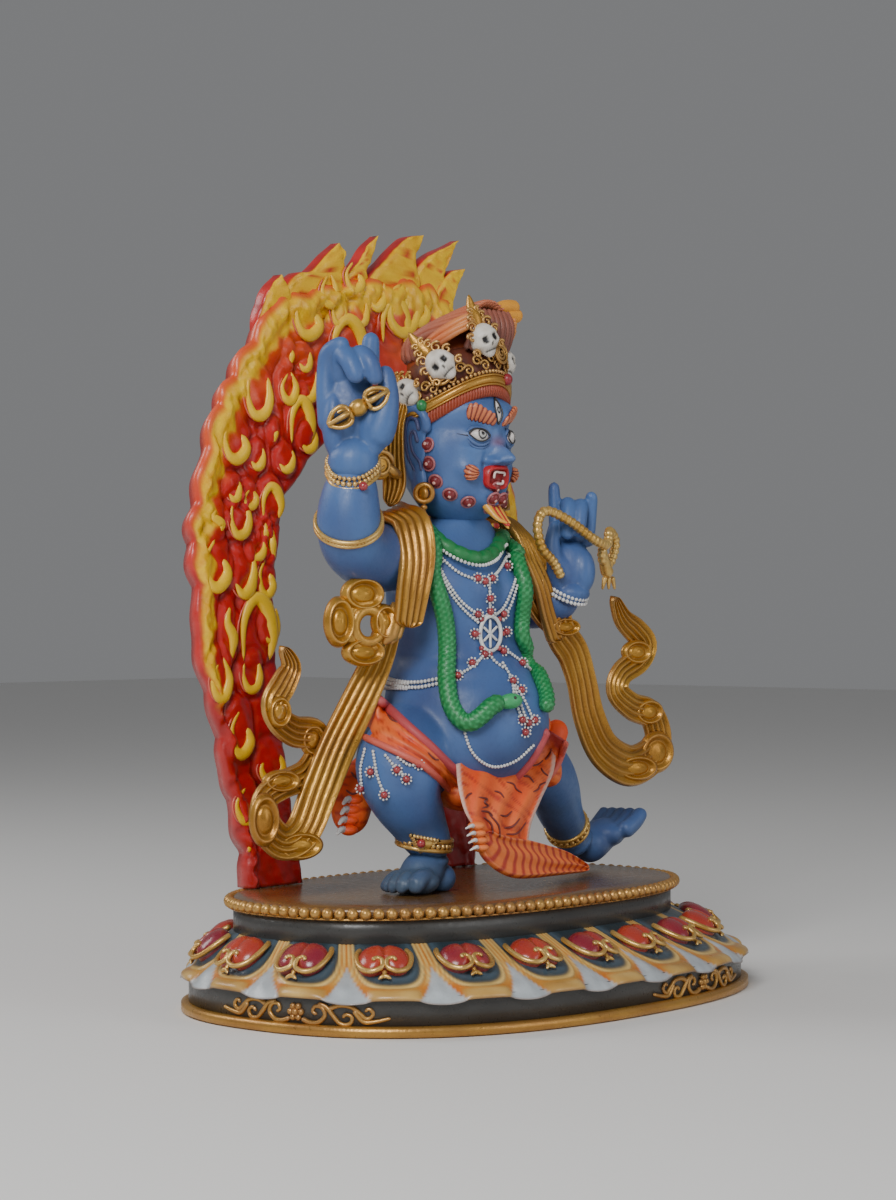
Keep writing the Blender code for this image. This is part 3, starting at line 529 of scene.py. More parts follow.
def plate_finish():
    """Dark brown-gold lacquer, glossy, with fine pale specks and drifting brown clouds."""
    mat = painted("speckled_plate_lacquer", (0.26, 0.13, 0.03), (0.10, 0.045, 0.015), 0.30,
                  0.25, 0.3, 0.06, 14.0, 0.3, 0.5)
    nodes, links = mat.node_tree.nodes, mat.node_tree.links
    shader = nodes["Principled BSDF"]
    under = shader.inputs["Base Color"].links[0].from_socket
    place = nodes.new("ShaderNodeTexCoord")
    cells = nodes.new("ShaderNodeTexVoronoi")
    cells.inputs["Scale"].default_value = 520.0
    links.new(place.outputs["Object"], cells.inputs["Vector"])
    dots = nodes.new("ShaderNodeMapRange")
    for key, number in (("From Min", 0.10), ("From Max", 0.16), ("To Min", 0.55), ("To Max", 0.0)):
        dots.inputs[key].default_value = number
    links.new(cells.outputs["Distance"], dots.inputs["Value"])
    mix = nodes.new("ShaderNodeMix")
    mix.data_type = "RGBA"
    mix.inputs[7].default_value = (0.42, 0.27, 0.10, 1.0)
    links.new(dots.outputs["Result"], mix.inputs[0])
    links.new(under, mix.inputs[6])
    links.new(mix.outputs[2], shader.inputs["Base Color"])
    return mat


# Lotus base

def oval(length, depth, shift, turns, out=0.0):
    """An oval with flattened sides: |x/a|^n + |y/b|^n = 1, grown by out."""
    a = length / 2 + out
    b = depth / 2 + out
    c, s = np.cos(turns), np.sin(turns)
    x = a * np.sign(c) * np.abs(c) ** (2 / OVAL_POWER)
    y = b * np.sign(s) * np.abs(s) ** (2 / OVAL_POWER) + shift
    return x, y


def even_turns(count, start=0.0):
    """Turns at which equal lengths of the middle oval's edge begin, from the -X end."""
    fine = np.linspace(-math.pi, math.pi, 6001)
    x, y = oval((BASE_LENGTH + PLATE_LENGTH) / 2, (BASE_DEPTH + PLATE_DEPTH) / 2, 0, fine)
    gone = np.concatenate([[0], np.cumsum(np.hypot(np.diff(x), np.diff(y)))])
    where = ((np.arange(count) + start) / count % 1.0) * gone[-1]
    return np.interp(where, gone, fine)


def turned_oval(profile, turns):
    """Rings of the oval, each with its own length, depth, shift and height."""
    rings = []
    for length, depth, shift, z in profile:
        x, y = oval(length, depth, shift, turns)
        rings.append(np.stack([x, y, np.full_like(x, z)], 1))
    return closed_grid(np.array(rings))


def slope_point(turns, share, out=0.0, lift=0.0):
    """A place on the petal slope: share 0 at the lips, 1 at the neck."""
    bend = share ** 1.25
    neck_length, neck_depth = PLATE_LENGTH - 3.2, PLATE_DEPTH - 3.2
    length = BASE_LENGTH - 3 + (neck_length - BASE_LENGTH + 3) * bend
    depth = BASE_DEPTH - 3 + (neck_depth - BASE_DEPTH + 3) * bend
    x, y = oval(length, depth, PLATE_SHIFT * bend, turns, out)
    z = BAND_TOP + (PETAL_TOP - BAND_TOP) * share + lift
    return np.stack(np.broadcast_arrays(x, y, z), -1)


# The petal band starts this many steps of its own grid round the slope. The buds start
# this many petals round it and sit at a share of the way up, lifted off it in mm.
BAND_START = 4.0
BUD_START = 4.0 / 52 + 0.5
BUD_SHARE = 0.68
BUD_LIFT = 1.2


def petal_band():
    """The ring of petals.

    In each petal, across runs from -1 to 1 and share from the lip to the neck. A slate
    field fills a U drawn by |across/0.84|^3 + ((1 - share)/0.74)^3 = 1, with a gold ridge
    along it, a fat gold lip below it and a grey-white bell between neighbours.
    """
    per_petal = 34
    turns = even_turns(PETALS * per_petal, start=BAND_START)[None, :]
    across = ((np.arange(PETALS * per_petal) % per_petal) / (per_petal / 2) - 1)[None, :]
    share = np.linspace(0, 1, 50)[:, None]
    edge = np.abs(across)
    inside = ((edge / 0.84) ** 3 + ((1 - share) / 0.74) ** 3) ** (1 / 3)
    ridge = np.exp(-((inside - 1.0) / 0.045) ** 2)
    ridge_out = np.exp(-((inside - 1.13) / 0.035) ** 2) * ease(0.25, 0.45, share)
    bell = 0.50 * np.clip(1 - share / 0.60, 0, 1) ** 1.3 + 0.02
    white = ease(-0.02, 0.03, bell - (1 - edge)) * ease(0.62, 0.56, share)
    lip = ease(0.60, 0.50, edge) * ease(0.25, 0.16, share)
    lip_bulge = np.clip(1 - (edge / 0.60) ** 4, 0, 1) * np.clip(1 - ((share - 0.10) / 0.17) ** 2, 0, 1)
    bell_bulge = np.clip(1 - ((1 - edge) / np.maximum(bell, 0.03)) ** 2, 0, 1) * ease(0.65, 0.2, share)
    dome = np.clip(1 - (inside / 0.98) ** 2, 0, 1)
    out = (2.6 * lip_bulge + 2.2 * bell_bulge + 0.9 * ridge + 0.6 * ridge_out + 1.2 * dome
           - 0.8 * ease(0.55, 0.75, edge) * ease(0.3, 0.5, share))
    lift = 1.2 * lip_bulge - 1.0 * bell_bulge * ease(0.4, 0.0, share) + 0.5 * dome * (1 - share)
    points = slope_point(np.broadcast_to(turns, out.shape), np.broadcast_to(share, out.shape), out, lift)
    # The slate field is painted paler in two soft rings inside its ridge, a painted sheen.
    paint = blend_paint(SLATE, SLATE_PALE, 0.8 * np.exp(-((inside - 0.80) / 0.10) ** 2)
                        + 0.25 * np.exp(-((inside - 0.62) / 0.06) ** 2))
    stem = blend_paint((0.62, 0.17, 0.012), GOLD, 0.35 + 0.4 * clouds(points, 16))
    paint = blend_paint(paint, stem, ease(1.02, 1.07, inside))
    paint = blend_paint(paint, GOLD_PALE, np.maximum(ridge, ridge_out) * 1.1)
    # The gold lip is painted paler where it bulges most, a painted highlight, mixed with random clouds.
    gilt = blend_paint((0.46, 0.24, 0.05), (0.74, 0.48, 0.14),
                       0.5 * lip_bulge + 0.6 * clouds(points, 20, 3))
    paint = blend_paint(paint, gilt, lip)
    chalk = np.asarray(GREY_WHITE) * (1 + 0.15 * clouds(points, 9, 5))[..., None]
    paint = blend_paint(paint, chalk, white)
    paint = blend_paint(paint, GOLD_BROWN, ease(0.045, 0.0, share) * 0.7)
    inner = slope_point(np.broadcast_to(turns, (2, turns.shape[1])), np.array([[1.0], [1.0]]),
                        np.array([[-8.0], [-24.0]]), np.array([[0.0], [-19.0]]))
    under = slope_point(turns, np.array([[0.0]]), -6.0, 0.2)
    grid = np.concatenate([points, inner, under])
    dark = np.broadcast_to(LACQUER, (3, grid.shape[1], 3))
    return closed_grid(grid, loop=True, paint=np.concatenate([paint, dark]))


def petal_frames():
    """Each petal's middle on the slope, with its ways across, up the slope and outwards."""
    turns = even_turns(PETALS, start=BUD_START)
    middle = slope_point(turns, np.full(PETALS, BUD_SHARE), BUD_LIFT)
    beside = slope_point(turns + 0.01, np.full(PETALS, BUD_SHARE), BUD_LIFT)
    above = slope_point(turns, np.full(PETALS, 0.80), BUD_LIFT)
    across = unit(beside - middle)
    up = above - middle
    up = unit(up - across * (up * across).sum(1)[:, None])
    return middle, across, up, np.cross(across, up)


def place_petals(local):
    """Local rows (across, up, out) repeated on all the petals, as petal x rows x 3."""
    middle, across, up, out = petal_frames()
    return (middle[:, None] + across[:, None] * local[None, :, :1]
            + up[:, None] * local[None, :, 1:2] + out[:, None] * local[None, :, 2:3])


def buds():
    """Twenty red buds of two lobes each: a dome over a heart shape with a groove down it."""
    rows, cols = 12, 36
    turn = round_turns(cols)
    c, s = np.cos(turn), np.sin(turn)
    notch = 1 - 0.26 * np.exp(-((turn - 1.5 * math.pi) / 0.28) ** 2)
    rim = np.stack([10.2 * np.sign(c) * np.abs(c) ** 0.75, 8.8 * np.sign(s) * np.abs(s) ** 0.85], 1)
    rim *= notch[:, None]
    reach = np.sin(np.linspace(0.04, math.pi / 2, rows))
    flat = rim[None] * reach[:, None, None]
    height = 5.2 * np.sqrt(np.clip(1 - reach ** 2.4, 0, 1))[:, None] * (
        1 - 0.30 * np.exp(-(flat[..., 0] / 1.0) ** 2)) + 0.04 * (flat[..., 1] + 8)
    shapes = []
    local = np.concatenate([flat, height[..., None]], -1)
    under = local[-1:].copy()
    under[..., 2] = -3.0
    local = np.concatenate([local, under])
    placed = place_petals(local.reshape(-1, 3)).reshape(PETALS, rows + 1, cols, 3)
    for k in range(PETALS):
        tone = BRICK if k % 2 else MAROON
        # Each bud is painted paler down its middle, a painted highlight, mixed with random clouds.
        shade = 0.05 + 0.4 * np.exp(-(local[..., 0] / 4.5) ** 2) + 0.2 * clouds(placed[k], 14, k)
        paint = blend_paint(tone, (0.55, 0.08, 0.03), shade * 0.8)
        shapes.append(closed_grid(placed[k], paint=paint))
    return shapes


def bud_borders():
    """The gold rim of each bud: down its side, under the lobe and up in a volute."""
    curl_turn = np.linspace(0, 4.6, 26)
    shapes = []
    side = [(-8.8, 8.8, 0.4), (-10.5, 4.5, 1.2), (-10.6, -1.0, 1.6), (-8.9, -6.2, 2.0), (-5.2, -9.0, 2.8),
            (-1.2, -7.8, 3.8)]
    spiral = 2.5 * np.exp(-0.22 * curl_turn)
    volute = np.stack([-3.1 + spiral * np.cos(curl_turn - 0.5), -4.6 + spiral * np.sin(curl_turn - 0.5),
                       4.6 + 0.15 * curl_turn], 1)
    line = even_line(np.vstack([side, volute[2::3]]), count=42)
    thick = 1.15 - 0.35 * np.linspace(0, 1, len(line)) ** 3
    for flip in (1, -1):
        local = line * (flip, 1, 1)
        placed = place_petals(local)
        for rows in placed:
            shapes.append(tube(rows, thick, 7))
    tip = np.array([(0, -7.2, 1.8), (0, -9.4, 1.2), (0, -11.2, 0.9)])
    foot = np.array([(-2.6, -11.6, 0.8), (0, -10.0, 1.2), (2.6, -11.6, 0.8)])
    for rows in place_petals(even_line(tip, count=8)):
        shapes.append(tube(rows, np.linspace(1.2, 0.5, 8), 8))
    for rows in place_petals(even_line(foot, count=9)):
        shapes.append(tube(rows, [0.3, 0.6, 0.8, 0.9, 0.9, 0.9, 0.8, 0.6, 0.3], 8))
    return shapes


def wall_point(where, z, out):
    """A place on the dark band, by its distance round the base from the front middle."""
    turns = even_turns(4000)
    x, y = oval(BASE_LENGTH - 6, BASE_DEPTH - 6, 0, turns, 0.0)
    gone = np.concatenate([[0], np.cumsum(np.hypot(np.diff(x), np.diff(y)))])
    total = gone[-1] + math.hypot(x[0] - x[-1], y[0] - y[-1])
    at = (np.asarray(where) + gone[np.argmin(y)]) % total
    px, py = np.interp(at, gone, x), np.interp(at, gone, y)
    nx, ny = np.sign(px) * np.abs(px / 138) ** 1.4 / 138, np.sign(py) * np.abs(py / 96) ** 1.4 / 96
    size = np.hypot(nx, ny)
    return np.stack([px + nx / size * out, py + ny / size * out, np.broadcast_to(z, px.shape)], -1)


# One side of a scroll on the dark band: strokes in mm outward from its flower and up
SCROLL_STROKES = (
    [(2.6, 5.0), (6.0, 3.6), (10.0, 3.8), (12.8, 6.6), (11.6, 9.6), (8.6, 10.0), (7.6, 7.8), (9.6, 6.9)],
    [(9.6, 11.2), (13.6, 9.8), (16.4, 6.4), (19.4, 3.6), (23.0, 3.8), (23.8, 6.4), (21.4, 7.4), (20.0, 5.8)],
    [(14.4, 9.2), (18.4, 10.8), (23.4, 10.4), (26.8, 8.0), (29.8, 5.8), (32.2, 7.8), (30.4, 9.8),
     (28.8, 8.4)],
    [(24.4, 9.2), (28.2, 4.8), (32.8, 4.8), (39.0, 6.2)],
)
SCROLL_PLACES = (-166.0, 42.0, 204.0, -328.0)


def scrolls():
    """Gold scrollwork on the dark band: leafy strokes left and right of a flower."""
    shapes = []
    for centre in SCROLL_PLACES:
        for flip in (-1, 1):
            for stroke in SCROLL_STROKES:
                line = even_line([(x, z, 0) for x, z in stroke], count=30)
                path = wall_point(centre + flip * line[:, 0], line[:, 1] + 1.6, 0.3)
                shapes.append(tube(path, np.linspace(1.15, 0.75, 30), 7))
        for k in range(6):
            turn = 2 * math.pi * k / 6
            place = wall_point(np.array([centre + 2.5 * math.cos(turn)]), 9.0 + 2.5 * math.sin(turn), 0.4)[0]
            shapes.append(egg(place, (1.35, 1.35, 1.35), rows=9, cols=12))
        shapes.append(egg(wall_point(np.array([centre]), 9.0, 0.6)[0], (1.6, 1.6, 1.6), rows=9, cols=12))
    return shapes


def build_base():
    """The oval lotus base in its separate finishes."""
    turns = even_turns(480)
    full = (BASE_LENGTH, BASE_DEPTH, 0)
    step = (BASE_LENGTH - 3.4, BASE_DEPTH - 3.4, 0)
    band = (BASE_LENGTH - 6, BASE_DEPTH - 6, 0)
    rim = [(*step, 0.0), (*full, 0.7), (*full, 2.2), (*full, 3.8), (*step, RIM_HEIGHT), (*band, RIM_HEIGHT)]
    piece("foot_rim", [turned_oval(rim, turns)], GILT, ["lotus_base"])
    neck = (PLATE_LENGTH - 3.2, PLATE_DEPTH - 3.2, PLATE_SHIFT)
    inner = (PLATE_LENGTH - 30, PLATE_DEPTH - 30, PLATE_SHIFT)
    walls = [turned_oval([(*band, RIM_HEIGHT - 0.5), (*band, BAND_TOP), (*band, BAND_TOP + 2),
                          (*inner, BAND_TOP + 3)], turns),
             turned_oval([(*inner, PETAL_TOP - 4), (*neck, PETAL_TOP - 2), (*neck, 38), (*neck, 42.6),
                          (*inner, 43)], turns)]
    piece("base_walls", walls, WALL)
    piece("petal_band", [petal_band()], LOTUS)
    piece("lotus_buds", buds(), BUD)
    piece("bud_borders", bud_borders(), GILT_BRIGHT)
    piece("band_scrolls", scrolls(), GILT)
    bead_turns = even_turns(BEADS)
    x, y = oval(PLATE_LENGTH, PLATE_DEPTH, PLATE_SHIFT, bead_turns)
    places = np.stack([x, y, np.full(BEADS, BEAD_LINE)], 1)
    strip = (PLATE_LENGTH + 0.6, PLATE_DEPTH + 0.6, PLATE_SHIFT)
    rail = turned_oval([(*neck, 42.2), (*strip, 42.4), (*strip, 43.0), (*neck, 43.4)], turns)
    piece("bead_row", [copies(FINE_BALL, places, 2.45), rail], GILT)
    edge = (PLATE_LENGTH - 3.0, PLATE_DEPTH - 3.0, PLATE_SHIFT)
    top = (PLATE_LENGTH - 4.4, PLATE_DEPTH - 4.4, PLATE_SHIFT)
    flat = [(*top[:2], PLATE_SHIFT, PLATE_TOP)] + [
        (top[0] * k, top[1] * k, PLATE_SHIFT, PLATE_TOP) for k in (0.8, 0.55, 0.3, 0.1)]
    plate = turned_oval([(*inner, 43.2), (*edge, 43.4), (*edge, PLATE_TOP - 0.8), *flat], turns)
    piece("plate_top", [plate], plate_finish())


# Flame aureole

ARCH = [(0.70, 0.0), (0.705, 0.05), (0.79, 0.145), (0.86, 0.255), (0.94, 0.325),
        (0.965, 0.425), (1.0, 0.525), (0.94, 0.625), (0.88, 0.7), (0.73, 0.785), (0.59, 0.855)]
INSIDE = [(0.376, 0.0), (0.404, 0.035), (0.486, 0.19), (0.54, 0.37), (0.55, 0.425),
          (0.523, 0.510), (0.495, 0.570), (0.43, 0.600), (0.33, 0.640), (0.17, 0.685), (0.0, 0.71)]
CROWN_LINE = [(-0.59, 0.855), (-0.46, 0.885), (-0.357, 0.895), (-0.126, 0.915), (0.006, 0.92),
              (0.295, 0.93), (0.49, 0.915), (0.551, 0.88), (0.62, 0.83)]
AUREOLE_SIZE = np.array([AUREOLE_HALF_WIDTH, AUREOLE_HEIGHT])


def curl_stroke(kind):
    """A flame curl's middle line in its own box, with a thickness at each point.

    Across runs from -1 to 1 and up from 0 to 1.
    """
    strokes = {
        "u": [(-0.8, 0.95, 0.25), (-0.9, 0.5, 0.5), (-0.45, 0.06, 0.9), (0.35, 0.08, 1.1),
              (0.8, 0.45, 1.0), (0.75, 1.0, 0.3)],
        "comma": [(0.75, 1.0, 0.2), (0.75, 0.6, 0.8), (0.35, 0.2, 1.2), (-0.35, 0.1, 0.9),
                  (-0.9, 0.35, 0.2)],
        "drop": [(0.3, 1.0, 0.2), (0.85, 0.5, 0.9), (0.35, 0.06, 1.1), (-0.5, 0.1, 0.9),
                 (-0.85, 0.5, 0.5), (-0.1, 0.95, 0.2)],
        "hook": [(-0.15, 1.0, 0.25), (-0.85, 0.6, 0.4), (-0.6, 0.15, 0.8), (0.1, 0.05, 1.1),
                 (0.75, 0.3, 1.1), (0.45, 0.62, 0.5)],
        "arch": [(-0.9, 0.0, 0.2), (-0.9, 0.6, 0.6), (-0.3, 0.97, 0.9), (0.4, 0.85, 1.2),
                 (0.85, 0.4, 1.0), (0.7, 0.0, 0.3)],
        "ring": [(-0.1, 1.0, 0.3), (-0.8, 0.75, 0.6), (-0.85, 0.25, 0.8), (-0.1, 0.03, 1.0),
                 (0.75, 0.3, 0.9), (0.8, 0.75, 0.6), (0.15, 0.9, 0.5), (0.15, 0.55, 0.8),
                 (-0.1, 0.35, 0.5)],
        "wave": [(-0.2, 1.0, 0.3), (-0.6, 0.7, 0.8), (0.3, 0.4, 1.1), (0.1, 0.0, 0.3)],
        "dash": [(0.1, 1.0, 0.2), (0.2, 0.5, 1.0), (-0.1, 0.0, 0.3)],
    }
    return np.array(strokes[kind])


# Kind, left, right, top and bottom pixel of each curl, and whether it is turned round
CURLS = [
    ("hook", 294, 320, 296, 338, 1), ("drop", 320, 335, 273, 306, 1), ("u", 331, 344, 301, 325, 1),
    ("comma", 354, 367, 301, 326, 1), ("arch", 332, 364, 318, 367, 1), ("ring", 386, 418, 283, 336, 1),
    ("dash", 286, 293, 347, 365, 1), ("comma", 298, 310, 351, 371, 1), ("u", 246, 269, 377, 417, 1),
    ("drop", 280, 295, 372, 402, 1), ("comma", 300, 317, 371, 402, 1), ("arch", 290, 311, 399, 444, 1),
    ("hook", 223, 246, 418, 461, 1), ("dash", 271, 276, 424, 442, 1), ("comma", 250, 263, 448, 469, 1),
    ("comma", 278, 293, 450, 472, 1), ("comma", 228, 239, 481, 501, 1), ("drop", 243, 255, 489, 507, 1),
    ("arch", 262, 280, 486, 518, 1), ("u", 230, 248, 504, 536, 1), ("wave", 209, 225, 510, 533, 1),
    ("dash", 261, 267, 523, 542, 1), ("dash", 266, 279, 530, 559, -1), ("comma", 250, 264, 541, 559, 1),
    ("hook", 204, 227, 540, 589, 1), ("comma", 234, 254, 554, 598, 1), ("hook", 258, 272, 559, 597, 1),
    ("arch", 242, 272, 597, 660, 1), ("wave", 224, 235, 607, 659, 1), ("u", 242, 259, 662, 690, 1),
    ("drop", 211, 228, 658, 699, 1), ("hook", 230, 250, 710, 756, 1), ("drop", 259, 282, 750, 782, 1),
    ("hook", 235, 257, 788, 822, 1), ("dash", 243, 253, 833, 852, 1), ("hook", 344, 362, 262, 292, 1),
    ("comma", 300, 316, 430, 452, 1), ("u", 262, 276, 608, 640, 1),
]


def mirrored_curls():
    """The curls of the hidden side and the crown's far half, as the visible ones mirrored."""
    kept = []
    for kind, left, right, top, bottom, flip in CURLS:
        middle = on_plane([((left + right) / 2, (top + bottom) / 2)], AUREOLE_FACE)[0]
        half = (right - left) / 2 / 1.52
        tall = (bottom - top) / 2.33
        kept.append((kind, middle[0], middle[2] - tall / 2, half, tall, flip))
        if middle[0] < -42:
            kept.append((kind, -middle[0], middle[2] - tall / 2, half, tall, -flip))
    for kind, x, z, half, tall in (("arch", 18, 286, 9, 20), ("hook", 34, 296, 7, 16),
                                   ("ring", 52, 276, 9, 22), ("u", 40, 262, 6, 13),
                                   ("comma", 6, 300, 6, 13), ("drop", 66, 262, 6, 15)):
        kept.append((kind, x, z, half, tall, 1))
    return kept


def aureole_edges(count):
    """Outer and inner edges of the flame plate, matched by their share of the way round."""
    half = smooth_line([(x, z, 0) for x, z in ARCH], 300)[:, :2]
    crown = smooth_line([(x, z, 0) for x, z in CROWN_LINE], 160)[:, :2]
    far = half[half[:, 1] < 0.83][::-1]
    outer = np.vstack([half * (-1, 1), crown[1:-1], far]) * AUREOLE_SIZE
    half = smooth_line([(x, z, 0) for x, z in INSIDE], 200)[:, :2]
    inner = np.vstack([half * (-1, 1), half[-2::-1]]) * AUREOLE_SIZE
    rows = []
    for line in (outer, inner):
        flat = np.column_stack([line[:, 0], line[:, 1], np.zeros(len(line))])
        rows.append(even_line(flat, count=count, smooth=False)[:, :2])
    return rows


def aureole_plate(curls):
    """The body of the aureole.

    Each station has a section from the inner edge over the face to the outer edge and back.
    The face swells in rounded lobes, one under each curl, between wandering grooves.
    """
    count = 430
    outer, inner = aureole_edges(count)
    gone = lengths_along(np.column_stack([outer, np.zeros(count)]))
    tangent = unit(np.gradient(outer, axis=0))
    normal = np.stack([-tangent[:, 1], tangent[:, 0]], 1)
    ramp = np.minimum(ease(0, 18, gone), ease(0, 18, gone[-1] - gone))
    lobe = np.abs(np.sin(gone / 24.0 * math.pi + 1.3 * np.sin(gone / 31.0) + 0.7 * np.sin(gone / 12.0)))
    outer_out = outer + normal * ((2.8 * lobe - 1.6 + 0.5 * np.sin(gone / 3.1)) * ramp)[:, None]
    wobble = (0.9 * np.abs(np.sin(gone / 11.0)) * ramp)[:, None]
    inner_out = inner - normal * wobble
    face_share = np.concatenate([[0.0, 0.012, 0.03], np.linspace(0.06, 0.94, 52), [0.97, 0.988, 1.0]])
    flat = (inner_out[:, None] * (1 - face_share[None, :, None])
            + outer_out[:, None] * face_share[None, :, None])
    x, z = flat[..., 0], flat[..., 1] + PLATE_TOP + SEAT_GAP
    spots = np.stack([x, z, np.zeros_like(x)], -1)
    raised = 0.55 * clouds(spots, 17, 1) + 0.35 * clouds(spots, 7, 2)
    for _, cx, cz, half, tall, _ in curls:
        dx, dz = (x - cx) / (half + 2.5), (z - cz - tall * 0.6) / (tall * 0.62 + 2.5)
        raised = raised + 1.3 * np.clip(1 - dx ** 2 - dz ** 2, 0, 1) ** 0.6
        raised = raised - 0.8 * np.exp(-((np.sqrt(dx ** 2 + dz ** 2) - 1.1) / 0.12) ** 2)
    edge_fall = np.sqrt(np.clip(1 - (1 - np.clip(np.minimum(face_share, 1 - face_share) / 0.05, 0, 1)) ** 2,
                                0, 1))[None, :]
    rim = 1.5 * np.exp(-((face_share - 0.90) / 0.06) ** 2)[None, :] * (1 + 0.5 * clouds(spots, 5, 6))
    front = AUREOLE_FACE + 2.0 - (raised + rim + 2.0) * edge_fall
    back_share = face_share[::-1][::3]
    back_flat = (inner_out[:, None] * (1 - back_share[None, :, None])
                 + outer_out[:, None] * back_share[None, :, None])
    bx, bz = back_flat[..., 0], back_flat[..., 1] + PLATE_TOP + SEAT_GAP
    fall = np.sqrt(np.clip(1 - (1 - np.clip(np.minimum(back_share, 1 - back_share) / 0.06, 0, 1)) ** 2, 0, 1))
    spots_back = np.stack([bx, bz, np.zeros_like(bx)], -1)
    back = AUREOLE_BACK - 2.2 + 2.2 * fall[None, :] * (1 + 0.2 * clouds(spots_back, 22, 4))
    bx, bz, back = bx[:, 1:-1], bz[:, 1:-1], back[:, 1:-1]
    low = PLATE_TOP + SEAT_GAP
    grid = np.concatenate([np.stack([x, front, z], -1), np.stack([bx, back, bz], -1)], 1)
    grid[..., 2] = np.maximum(grid[..., 2], low)
    height = (z - PLATE_TOP) / AUREOLE_HEIGHT
    # The red is painted lighter on the raised lobes and darker in the grooves between them, a painted
    # highlight and painted shade; it also darkens towards the bottom and the inner edge.
    paint = blend_paint(RED, RED_DARK, ease(0.5, 0.0, height) * 0.45 - 0.25 * raised
                        + 0.3 * ease(0.35, 0.05, face_share)[None, :])
    paint = blend_paint(paint, FLAME_ORANGE, ease(0.66, 0.9, height) * (0.45 + 0.5 * clouds(spots, 26, 8))
                        * ease(0.88, 0.80, face_share)[None, :])
    reach = 0.815 - 0.055 * clouds(spots, 13, 9) - 0.03 * ease(0.6, 0.9, height)
    yellow = ease(reach - 0.02, reach + 0.02, face_share[None, :]) * ease(0.975, 0.955, face_share)[None, :]
    yellow = yellow * ease(0.26, 0.30, height + 0.02 * clouds(spots, 8, 10))
    tone = blend_paint(YELLOW, YELLOW_DARK,
                       0.35 + 0.5 * clouds(spots, 6, 11))
    glow = ease(reach - 0.14, reach, face_share[None, :]) * ease(0.45, 0.7, height)
    paint = blend_paint(paint, FLAME_ORANGE, 0.7 * glow)
    paint = blend_paint(paint, tone, yellow)
    behind = blend_paint(RED_DARK, RED,
                         0.5 + 0.4 * clouds(spots_back[:, 1:-1], 20, 12))
    return closed_grid(grid, paint=np.concatenate([paint, behind], 1))


# Left and right edges of each crown flame, in X and Z, from its root to its tip
TONGUES = [
    ([(-68, 284), (-66, 296), (-61, 305), (-54, 311)], [(-38, 290), (-45, 300), (-50, 306), (-54, 311)]),
    ([(-56, 292), (-52, 306), (-44, 312.5), (-36, 314), (-27, 321.6), (-17.4, 328.2)],
     [(-4, 296), (-11, 308), (-13.7, 315.7), (-14, 320), (-13, 324.4), (-17.4, 328.2)]),
    ([(-22, 298), (-13, 313), (-5, 321), (1.4, 328.6), (8.7, 334)],
     [(10, 296), (4, 308), (0.7, 317), (3.4, 322), (8.7, 334)]),
    ([(-6, 300), (3, 315), (13, 324), (22, 331), (29, 335.5), (40, 337.4)],
     [(46, 300), (38, 314), (33.9, 326), (36.5, 330.5), (40, 337.4)]),
    ([(26, 306), (34, 321), (46, 329.5), (56.9, 334.0), (64.7, 337.4)],
     [(64, 300), (57, 313), (54.6, 321), (58.5, 328), (64.7, 337.4)]),
    ([(42, 300), (50, 314), (58, 322), (69.1, 324.6)], [(62, 288), (60, 302), (61.5, 312), (69.1, 324.6)]),
    ([(54, 286), (62, 300), (70, 306), (80, 306)], [(68, 274), (69, 287), (72, 296), (80, 306)]),
    ([(64, 268), (71, 281), (78, 286), (86, 286)], [(76, 256), (77, 268), (80, 277), (86, 286)]),
]


def flame_tongues():
    """The crown's flames: flat tongues as thick as the plate, all leaning one way.

    Each station spans its left and right edges with a rounded box section, yellow and
    wrinkled on its face and red at its sides and back.
    """
    shapes = []
    turn = round_turns(36)
    c, s = np.cos(turn), np.sin(turn)
    across = np.sign(c) * np.abs(c) ** 0.35
    depth = np.sign(s) * np.abs(s) ** 0.35
    for k, (left, right) in enumerate(TONGUES):
        a = even_line([(x, 0, z) for x, z in left], count=28)
        b = even_line([(x, 0, z) for x, z in right], count=28)
        share = np.linspace(0, 1, 28)[:, None]
        a = a - (1.5, 0, 0) * np.abs(np.sin(share * 7 + k)) * (1 - share)
        b = b + (1.2, 0, 0) * np.abs(np.sin(share * 9 + 2 * k)) * (1 - share)
        middle = (a + b)[:, None] / 2
        half = (b - a)[:, None] / 2
        grid = middle + half * across[None, :, None]
        thick = (AUREOLE_BACK - AUREOLE_FACE) / 2 * np.clip(1 - 0.45 * share ** 3, 0.3, 1)
        wrinkle = 0.6 * clouds(grid, 5, 20 + k) + 0.45 * clouds(grid, 2.4, 40 + k) - 2.4 * (1 - share) ** 2
        grid[..., 1] = ((AUREOLE_FACE + AUREOLE_BACK) / 2 - depth[None, :] * thick
                        - np.clip(depth, 0, 1)[None, :] * (0.6 + wrinkle + 0.3 * (k % 2)))
        front = ease(0.45, 0.75, s)[None, :] * np.ones((28, 1))
        tone = blend_paint(YELLOW, YELLOW_DARK,
                           0.25 + 0.5 * clouds(grid, 7, 20 + k))
        hole = ease(0.30, 0.42, clouds(grid, 8, 50 + k)) * ease(0.75, 0.5, np.abs(across))[None, :]
        tone = blend_paint(tone, RED, hole * ease(0.9, 0.6, share))
        base = blend_paint(RED, RED_DARK,
                           0.3 + 0.4 * clouds(grid, 12, 30 + k))
        shapes.append(closed_grid(grid, paint=blend_paint(base, tone, front)))
    return shapes


